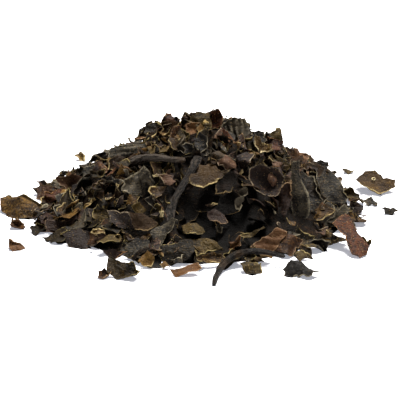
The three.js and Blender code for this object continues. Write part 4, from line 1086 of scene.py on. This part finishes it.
# Deep in the hollow, flakes are painted dark, as shade, from this depth down.
HOLLOW_FROM = 1.2         # from this depth down, what lies in the hollow is nearly black
PACKED_TONES = {"dark": 26, "grey": 20, "olive": 20, "maroon": 13, "rust": 10, "gold": 6, "red": 1}
SMALL_TONES = {"dark": 24, "grey": 15, "olive": 20, "maroon": 12, "rust": 11, "gold": 13, "red": 5}

# Ovals, given by the x and y of their middle and both half widths: those round the heap and at
# its foot that small flakes keep off, and the left part of the front, where they are larger and
# flatter.
BARE = ((-16, 18, 5, 6), (-30, 24, 8, 8), (-42, 24, 8, 7), (-26, -37.5, 6, 4), (29.5, -30.5, 5, 4),
        (44, 14, 8, 9), (7.5, -41, 5, 3))
LEAFY = (-28, -16, 17, 13)
LEAFY_GROWTH = 1.4
LEAFY_CURL = 0.5

# How some of the shown flakes differ from what their number would draw.
STYLES = {
    "far_left": dict(
        shade=0.5, warmth=0.9, facing=1, curl=150, margin=2, furrows=(2.4, 90, 0.16), rim=0.35,
    ),
    "mauve_left": dict(shade=-0.2, warmth=0.2, bowl=0, creases=1, curl=20, crumple=0.3),
    "cup_left": dict(
        shade=1, warmth=0.2, bowl=1.2, facing=2.6, curl=110, rim=0.5, rim_even=0.4,
        wrinkle=(0.3, 1.5),
    ),
    "brown_mid": dict(
        shade=-0.8, warmth=0.9, bowl=-0.8, facing=-1.2, curl=90, margin=2, rim=0.9, ragged=1.7,
        creases=2,
    ),
    "dark_mid": dict(shade=-1, warmth=0.6, facing=-1.7, rim=0.5, bowl=0.5, creases=2),
    "brown_lower": dict(shade=0, warmth=0.4, crumple=0.4, creases=2, rim=0.3, facing=1.6),
    "shield_lower": dict(shade=1.6, warmth=0.2, crumple=0.5),
    "round_lower": dict(shade=-0.4, warmth=0.2, crumple=0.4),
    "strip_left": dict(shade=-0.4, warmth=0.5),
    "mauve_mid": dict(shade=1.5, warmth=0.2, curl=120, facing=3.8),
    "cup_right": dict(
        shade=0, warmth=0.3, facing=-2.2, curl=70, rim=0.34, rim_even=0.5, bowl=0.9, crumple=0.6,
        creases=2, ragged=1.6, wrinkle=(0.15, 1.7),
    ),
    "bladder_right": dict(
        shade=1.4, warmth=0.2, bowl=0, creases=0, crumple=0.2, rim_even=0, curl=0,
    ),
    "tall_fold": dict(
        shade=0.7, warmth=-0.6, facing=0, curl=70, rim=0.6, rim_even=0.35, bowl=0, crumple=0.9,
        creases=2, wrinkle=(0.05, 1.7), grain=0.03,
    ),
    "side_fold": dict(shade=-0.2, warmth=0.3, facing=1.4, curl=140, rim=0.3),
    "rough_right": dict(shade=0.1, warmth=0.8, wrinkle=(0.35, 1.3), ragged=1.6),
    "broad_right": dict(shade=0.4, bowl=0.5, warmth=0.4, curl=60, facing=0, wrinkle=(0.2, 1.4)),
    "strap_right": dict(
        shade=0.7, warmth=0.6, bowl=0, ragged=0.3, curl=40, facing=3.2, crumple=0.25, creases=1,
    ),
    "far_right": dict(
        shade=0, warmth=1, bowl=1, curl=90, facing=4.6, rim=0.4, creases=2, crumple=0.9,
    ),
    "quad_front": dict(
        shade=2, bowl=0.2, warmth=0.6, creases=1, curl=0, crumple=0.3, rim_even=0.6,
        furrows=(3, 90, 0.16),
    ),
    "red_foot": dict(bowl=0, shade=1.2, warmth=0.9, creases=1, crumple=0.3, rim_even=0.4, curl=40),
    "pair_front": dict(shade=0.2, warmth=1, curl=160, margin=1.8, facing=0, wrinkle=(0.3, 1.4)),
    "red_front": dict(shade=0.4, warmth=0.8, creases=2, curl=140, facing=-0.5),
    "fold_front": dict(shade=0.4, warmth=0.6, curl=160, facing=1.4, rim_even=0.5),
    "olive_front": dict(shade=0, warmth=0.3, creases=2, crumple=0.5, wrinkle=(0.3, 1.3)),
    "ridge_front": dict(shade=1, warmth=0.8, curl=80, facing=-1.5, rim=0.5, wrinkle=(0.25, 1.2)),
    "slab_front": dict(shade=0.5, warmth=0.1, crumple=0.4, wrinkle=(0.25, 1.5)),
    "arch_front": dict(
        shade=0.7, warmth=-0.5, crumple=0.3, wrinkle=(0.05, 1.7), facing=-0.8, rim=0.4,
        rim_even=0.3,
    ),
    "grey_shoulder": dict(shade=0.7, warmth=0.1, furrows=(4, 90, 0.16), crumple=0.5, ragged=1.5),
    "ribbed_roll": dict(
        shade=1.3, ragged=0.4, warmth=0.6, furrows=(4.2, 8, 0.4), crumple=0.2, creases=1, bowl=0,
        wrinkle=(0.05, 1.3),
    ),
    "stand_left": dict(shade=3.4, warmth=0.6),
    "vee_right": dict(
        shade=0.2, warmth=0.9, creases=2, curl=70, facing=-2.2, rim=0.9, rim_even=0.3,
    ),
    "lobes_front": dict(shade=-0.8, warmth=0.1, ragged=2, curl=120),
    "curl_behind": dict(shade=0.6, warmth=1, rim=0.9, rim_even=0.6),
    "gold_right": dict(shade=0.3, warmth=0.6, rim=0.5),
    "lip_right": dict(shade=2.2, warmth=0, rim=0.6, rim_even=0.4),
    "gold_front": dict(shade=1.3, warmth=1, curl=90, rim=0.3, rim_even=0),
    "cream_curl": dict(shade=0.8, warmth=0.3, rim=0.6, rim_even=0.6),
    "amber_chip": dict(shade=1.2, warmth=1, rim=0.6, rim_even=0.6),
    "gold_strip": dict(shade=1, warmth=1, rim=0.6, rim_even=0.6),
    "pale_tip": dict(shade=1.6, warmth=0.4, rim=1.2, rim_even=1),
    "pale_spur": dict(shade=2, warmth=0.4, rim=1.5, rim_even=1),
    "drop_hollow": dict(shade=2.2, warmth=0, rim=0.5, rim_even=0.1, facing=-1.6),
    "leaf_hollow": dict(shade=1.8, warmth=0, rim=0.5, rim_even=0.1, facing=-1.6),
    "rust_top": dict(shade=2.8, warmth=0.8, crumple=0.4, rim=0.3, rim_even=0.4),
    "fill_peak": dict(shade=-0.5),
    "dark_foot": dict(shade=-0.6, warmth=0.3),
    "bit_hollow": dict(shade=2.2, warmth=0),
}

STALK_SHADES = {"stalk_pale": 1.5, "stalk_forked": 0.3, "stalk_curved": 0}

# Thin twigs, in the columns of the stalk pieces that lie on the heap.
TWIGS = [
    ["twig_mid", "rust", [
      [-13, -23.7, 1.8, 0.4, 0.4], [-10.4, -28.1, 2.2, 0.35, 0.35], [-8.5, -31.8, 2.6, 0.3, 0.3]]],
    ["twig_hollow", "rust", [
      [12.8, -26, 2.4, 0.3, 0.3], [15, -27.2, 2.8, 0.35, 0.3], [17, -28, 2.8, 0.3, 0.3]]],
    ["twig_top", "dark", [
      [14.5, -1, 1, 0.5, 0.4], [15.2, -0.4, 2.6, 0.4, 0.4], [14.4, 0, 4, 0.3, 0.3]]],
]

PACKED_CRUMPLE = (0.3, 0.5)
# Flakes deep in the hollow: painted nearly black, as shade.
PACKED_SHADED_IN_HOLLOW = dict(shade=-2.5, warmth=0, rim=0.1)
PACKED_MESH = (36, 6)     # sectors and rings of a flake's shell
SHORT_MESH = (44, 8)
SHOWN_MESH = (72, 12)
TWIG_MESH = (8, 16)       # sides and steps of a twig's shell
RING_MESH = (8, 48)
RING_RADIUS = 0.45
RING_THICKNESS = 0.3
RING_RAISED = 0.35
RING_AT = (-0.6, 0.9)     # of the ring-shaped shell, from the middle of the flake that it is on

shells = {tone: [] for tone in FINISHES}
ground = HeightMap()
for order in range(PACKED_COUNT):
    flake = packed_flake(order, ground)
    ground.cover(flake)
    low = hollow_depth(*flake.at[:2])
    flake.at[2] -= min(low, max(0, solid_points(flake)[:, 2].min()))
    # Deep in the hollow, flakes take the dark tone at its darkest: painted shade.
    hollow = low > HOLLOW_FROM
    tone = "dark" if hollow else tone_of(order, PACKED_TONES)
    style = style_of(
        order, crumple=draw_from(PACKED_CRUMPLE, order, 34), **PACKED_SHADED_IN_HOLLOW if hollow else {},
    )
    if order not in PACKED_SKIPPED:
        shells[tone].append(flake_shell(flake, *PACKED_MESH, style))

number = PACKED_COUNT     # of the next piece, which every draw for it starts from
for rows, on_heap in ((FLOOR_STALKS, None), (HEAP_STALKS, ground)):
    for name, tone, line in rows:
        shell = stalk_shell(line, on_heap, number, wrinkle=0.15)
        shell.tint[:, 0] = STALK_SHADES.get(name, 0.5)
        write_piece(name, [shell], tone, name)
        number += 1

shown = {}
for rows, on_heap, mesh_size in (
    (LOOSE_FLAKES, None, SHOWN_MESH), (FLAKES, ground, SHOWN_MESH),
    (SHORT_LOOSE, None, SHORT_MESH), (SHORT_FLAKES, ground, SHORT_MESH),
):
    for row in rows:
        name, tone = row[:2]
        flake = shown[name] = row_flake(row, number, on_heap)
        shell = flake_shell(flake, *mesh_size, style_of(number, **STYLES.get(name, {})))
        if mesh_size is SHOWN_MESH:
            write_piece(name, [shell], tone, name, finish=OTHER_FINISHES.get(name))
        else:
            shells[OTHER_FINISHES.get(name, tone)].append(shell)
        number += 1

# A ring-shaped shell, left by a small animal, on the flake at the far right. It goes a little
# more than once round, and is as pale as a cut edge.
turn = np.linspace(0, 2.1 * math.pi, 16)
ring = place_points(
    shown["far_right"], RING_RADIUS * np.cos(turn) + RING_AT[0],
    RING_RADIUS * np.sin(turn) + RING_AT[1], 0 * turn + RING_RAISED,
)
ring = np.column_stack([ring, 0 * turn + RING_THICKNESS, 0 * turn + RING_THICKNESS])
ring = stalk_shell(ring, None, number, *RING_MESH)
ring.tint[:, 1] = 1
write_piece("ring_shell", [ring], "gold", "far_right", finish="cream")

for _, tone, line in TWIGS:
    shells[tone].append(stalk_shell(line, ground, number, *TWIG_MESH))
    number += 1


# ---- Small flakes -------------------------------------------------------------------------------

SMALL_SKIPPED = (1033, 1280, 1406)  # these would lie before the peak's shown flakes and the cup
SMALL_THICKNESS = 0.24
SMALL_ROLL = (-50, 150)
SMALL_BOW = (-40, 110)
SMALL_BOWL = (-0.1, 0.22)  # and the margin that curls, both as a share of the width
SMALL_MARGIN = 0.3
SMALL_CRUMPLE = (0.25, 0.6)
SMALL_FOOTPRINT = 0.4     # radius of what a small flake settles on, as a share of its length
# Small flakes deep in the hollow: painted dark, as shade.
SMALL_SHADED_IN_HOLLOW = dict(shade=-1.5, warmth=0.2)
FACE_DEPTH = (-1, 7)      # how far behind and before a shown flake's face nothing small may lie
LEFT_OUT = 0.9            # share of the small flakes that is left out in the hollow's middle
LEFT_OUT_ROUND = 0.92     # and beside the heap, where the ground is bare
BARE_HEIGHT = 0.3         # below this height the ground is taken to be bare

# Small flakes of four sizes: the first one's number and how many are drawn, how far they spread,
# their length, tilt and lift, the sectors and rings of a shell, how much room shown flakes need
# beyond their own size, and the width as a share of the length.
SMALL_FLAKES = (
    (1000, 460, 45, (5, 4.5), 64, (0.4, 1.8), (26, 4), 0.2, (0.42, 0.5)),
    (2000, 680, 46.5, (3, 2.6), 68, (0.3, 2), (18, 3), 0.0, (0.42, 0.5)),
    (4000, 260, 47.5, (1.4, 1.6), 60, (0.1, 1.6), (9, 2), -0.6, (0.42, 0.5)),
    (5000, 300, 46, (3, 4), 70, (0.8, 1.8), (18, 3), 0.2, (0.14, 0.2)),
)

shown_at = np.array([flake.at for flake in shown.values()])
shown_axes = np.array([[flake.along, flake.up, flake.out] for flake in shown.values()])
shown_half = np.array([[flake.length / 2, flake.width / 2] for flake in shown.values()])


def hides_shown(point, spare):
    """Whether a small flake at the point would lie before the face of one that shows."""
    local = np.einsum("nij,nj->ni", shown_axes, point - shown_at)
    before = (local[:, 2] > FACE_DEPTH[0]) & (local[:, 2] < FACE_DEPTH[1])
    oval = (local[:, 0] / (shown_half[:, 0] + spare)) ** 2
    oval = oval + (local[:, 1] / (shown_half[:, 1] + spare)) ** 2
    return bool((before & (oval < 1)).any())


def in_oval(x, y, oval):
    """Whether a place lies in an oval, given by its middle and its two half widths."""
    u, v, a, b = oval
    return ((x - u) / a) ** 2 + ((y - v) / b) ** 2 < 1


def small_style(order, width, changes):
    """How a small flake is curled and roughened."""
    return style_of(
        order, thickness=SMALL_THICKNESS, bowl=draw_from(SMALL_BOWL, order, 36) * width,
        margin=SMALL_MARGIN * width, ragged=0.35, creases=1, grain=0.02,
        crumple=draw_from(SMALL_CRUMPLE, order, 34), wrinkle=(0.06, 1.7), **changes,
    )


def scatter(order, spread, length_span, tilt, lift, mesh_size, spare, slender):
    """Adds a small flake at a drawn place on the disc, settled on the height map, unless it would
    lie where the ground is bare or in front of a flake that shows."""
    radius = spread * math.sqrt(draw(order, 101))
    angle = 2 * math.pi * draw(order, 102)
    x, y = radius * math.cos(angle), radius * math.sin(angle)
    growth, curl = (LEAFY_GROWTH, LEAFY_CURL) if in_oval(x, y, LEAFY) else (1, 1)
    length = draw_from(length_span, order, 1) * growth
    width = length * draw_from(slender, order, 2)
    if any(in_oval(x, y, oval) for oval in BARE):
        return
    spot = ground.under(x, y, SMALL_FOOTPRINT * length)
    low = hollow_depth(x, y)
    left_out = LEFT_OUT * min(1, low / HOLLOW_FROM) ** 2
    if spot[0] < BARE_HEIGHT:
        left_out = LEFT_OUT_ROUND
    at = np.array([x, y, spot[0] - low + draw_from(lift, order, 9)])
    if draw(order, 103) < left_out or order in SMALL_SKIPPED or hides_shown(at, spare):
        return
    flake = make_flake(
        drawn_corners(order, 3 + order % 4, length, width, 0.5), at, leaning(spot, tilt, order),
        curl * draw_from(SMALL_ROLL, order, 7), curl * draw_from(SMALL_BOW, order, 8), order,
        360 * draw(order, 10),
    )
    corners = place_points(flake, *flake.corners.T, 0 * flake.corners[:, 0])
    flake.at[2] += max(0, -corners[:, 2].min())
    # Deep in the hollow, flakes take the dark tone at its darkest: painted shade.
    hollow = low > HOLLOW_FROM
    tone = "dark" if hollow else tone_of(order, SMALL_TONES)
    style = small_style(order, width, SMALL_SHADED_IN_HOLLOW if hollow else {})
    shells[tone].append(flake_shell(flake, *mesh_size, style))


for first, count, *rest in SMALL_FLAKES:
    for order in range(first, first + count):
        scatter(order, *rest)

# The inside stands for flakes that don't show; it is finished dark and darkened further by the
# painted shade of depth, so that gaps between flakes read as deep shade.
inside = core_shell(rings=60, sectors=180, depth=4.0, foot=0.9)
write_piece("packed_inside", [inside], "dark", "packed_flakes")
for tone, group in shells.items():
    if group:
        write_piece("packed_" + tone, group, tone, "packed_flakes")


# ---- Surface, light and camera ------------------------------------------------------------------

TARGET = Vector((0, 0, 1.5)) * MM
DISTANCE = 0.42           # of the camera, in metres
ELEVATION = math.radians(21)
SENSOR = 36
FRAME_WIDTH = 0.112       # of what the camera takes in at the target, in metres


def aimed(thing, at, target):
    """Puts a lamp or camera at a place, looking at another."""
    thing.location = at
    thing.rotation_euler = (Vector(target) - Vector(at)).to_track_quat("-Z", "Y").to_euler()
    bpy.context.scene.collection.objects.link(thing)
    return thing


def soft_lamp(name, at, size, watts, colour):
    """A square lamp that looks at the heap."""
    lamp = bpy.data.lights.new(name, "AREA")
    lamp.shape, lamp.size, lamp.energy, lamp.color = "SQUARE", size, watts, colour
    return aimed(bpy.data.objects.new(name, lamp), at, (0, 0, 0.005))


def pale_surface(half):
    """The plain white surface that the heap lies on, out to half its width in metres."""
    mesh = bpy.data.meshes.new("surface")
    corners = [(-half, -half, 0), (half, -half, 0), (half, half, 0), (-half, half, 0)]
    mesh.from_pydata(corners, [], [(0, 1, 2, 3)])
    finish = Finish("white_surface")
    place = finish.node("TexCoord", output="Object")
    mottle = finish.noise(place, 6.0)
    colour = finish.mix(mottle, (0.88, 0.88, 0.9, 1), (0.9, 0.9, 0.92, 1))
    mesh.materials.append(finish.surface(
        Base_Color=colour, Roughness=0.9, Specular_IOR_Level=0.1,
        Emission_Color=(0.86, 0.89, 1, 1), Emission_Strength=0.35,
    ))
    surface = bpy.data.objects.new("surface", mesh)
    bpy.context.scene.collection.objects.link(surface)


pale_surface(3)
soft_lamp("overhead", (0.15, 0.18, 0.74), size=0.38, watts=24, colour=(1, 0.97, 0.93))
soft_lamp("front_fill", (-0.3, -0.7, 0.45), size=0.6, watts=0.7, colour=(0.92, 0.95, 1))
world = bpy.data.worlds.new("white_room")
bpy.context.scene.world = world
world.use_nodes = True
background = world.node_tree.nodes["Background"].inputs
background["Color"].default_value = (0.94, 0.95, 1, 1)
background["Strength"].default_value = 0.1
bpy.context.scene.view_settings.view_transform = "Standard"

lens = bpy.data.cameras.new("camera")
lens.sensor_width = SENSOR
lens.lens = SENSOR * DISTANCE / FRAME_WIDTH
lens.clip_start = 0.01
from_target = Vector((0, -math.cos(ELEVATION), math.sin(ELEVATION))) * DISTANCE
camera = aimed(bpy.data.objects.new("camera", lens), TARGET + from_target, TARGET)
bpy.context.scene.camera = camera
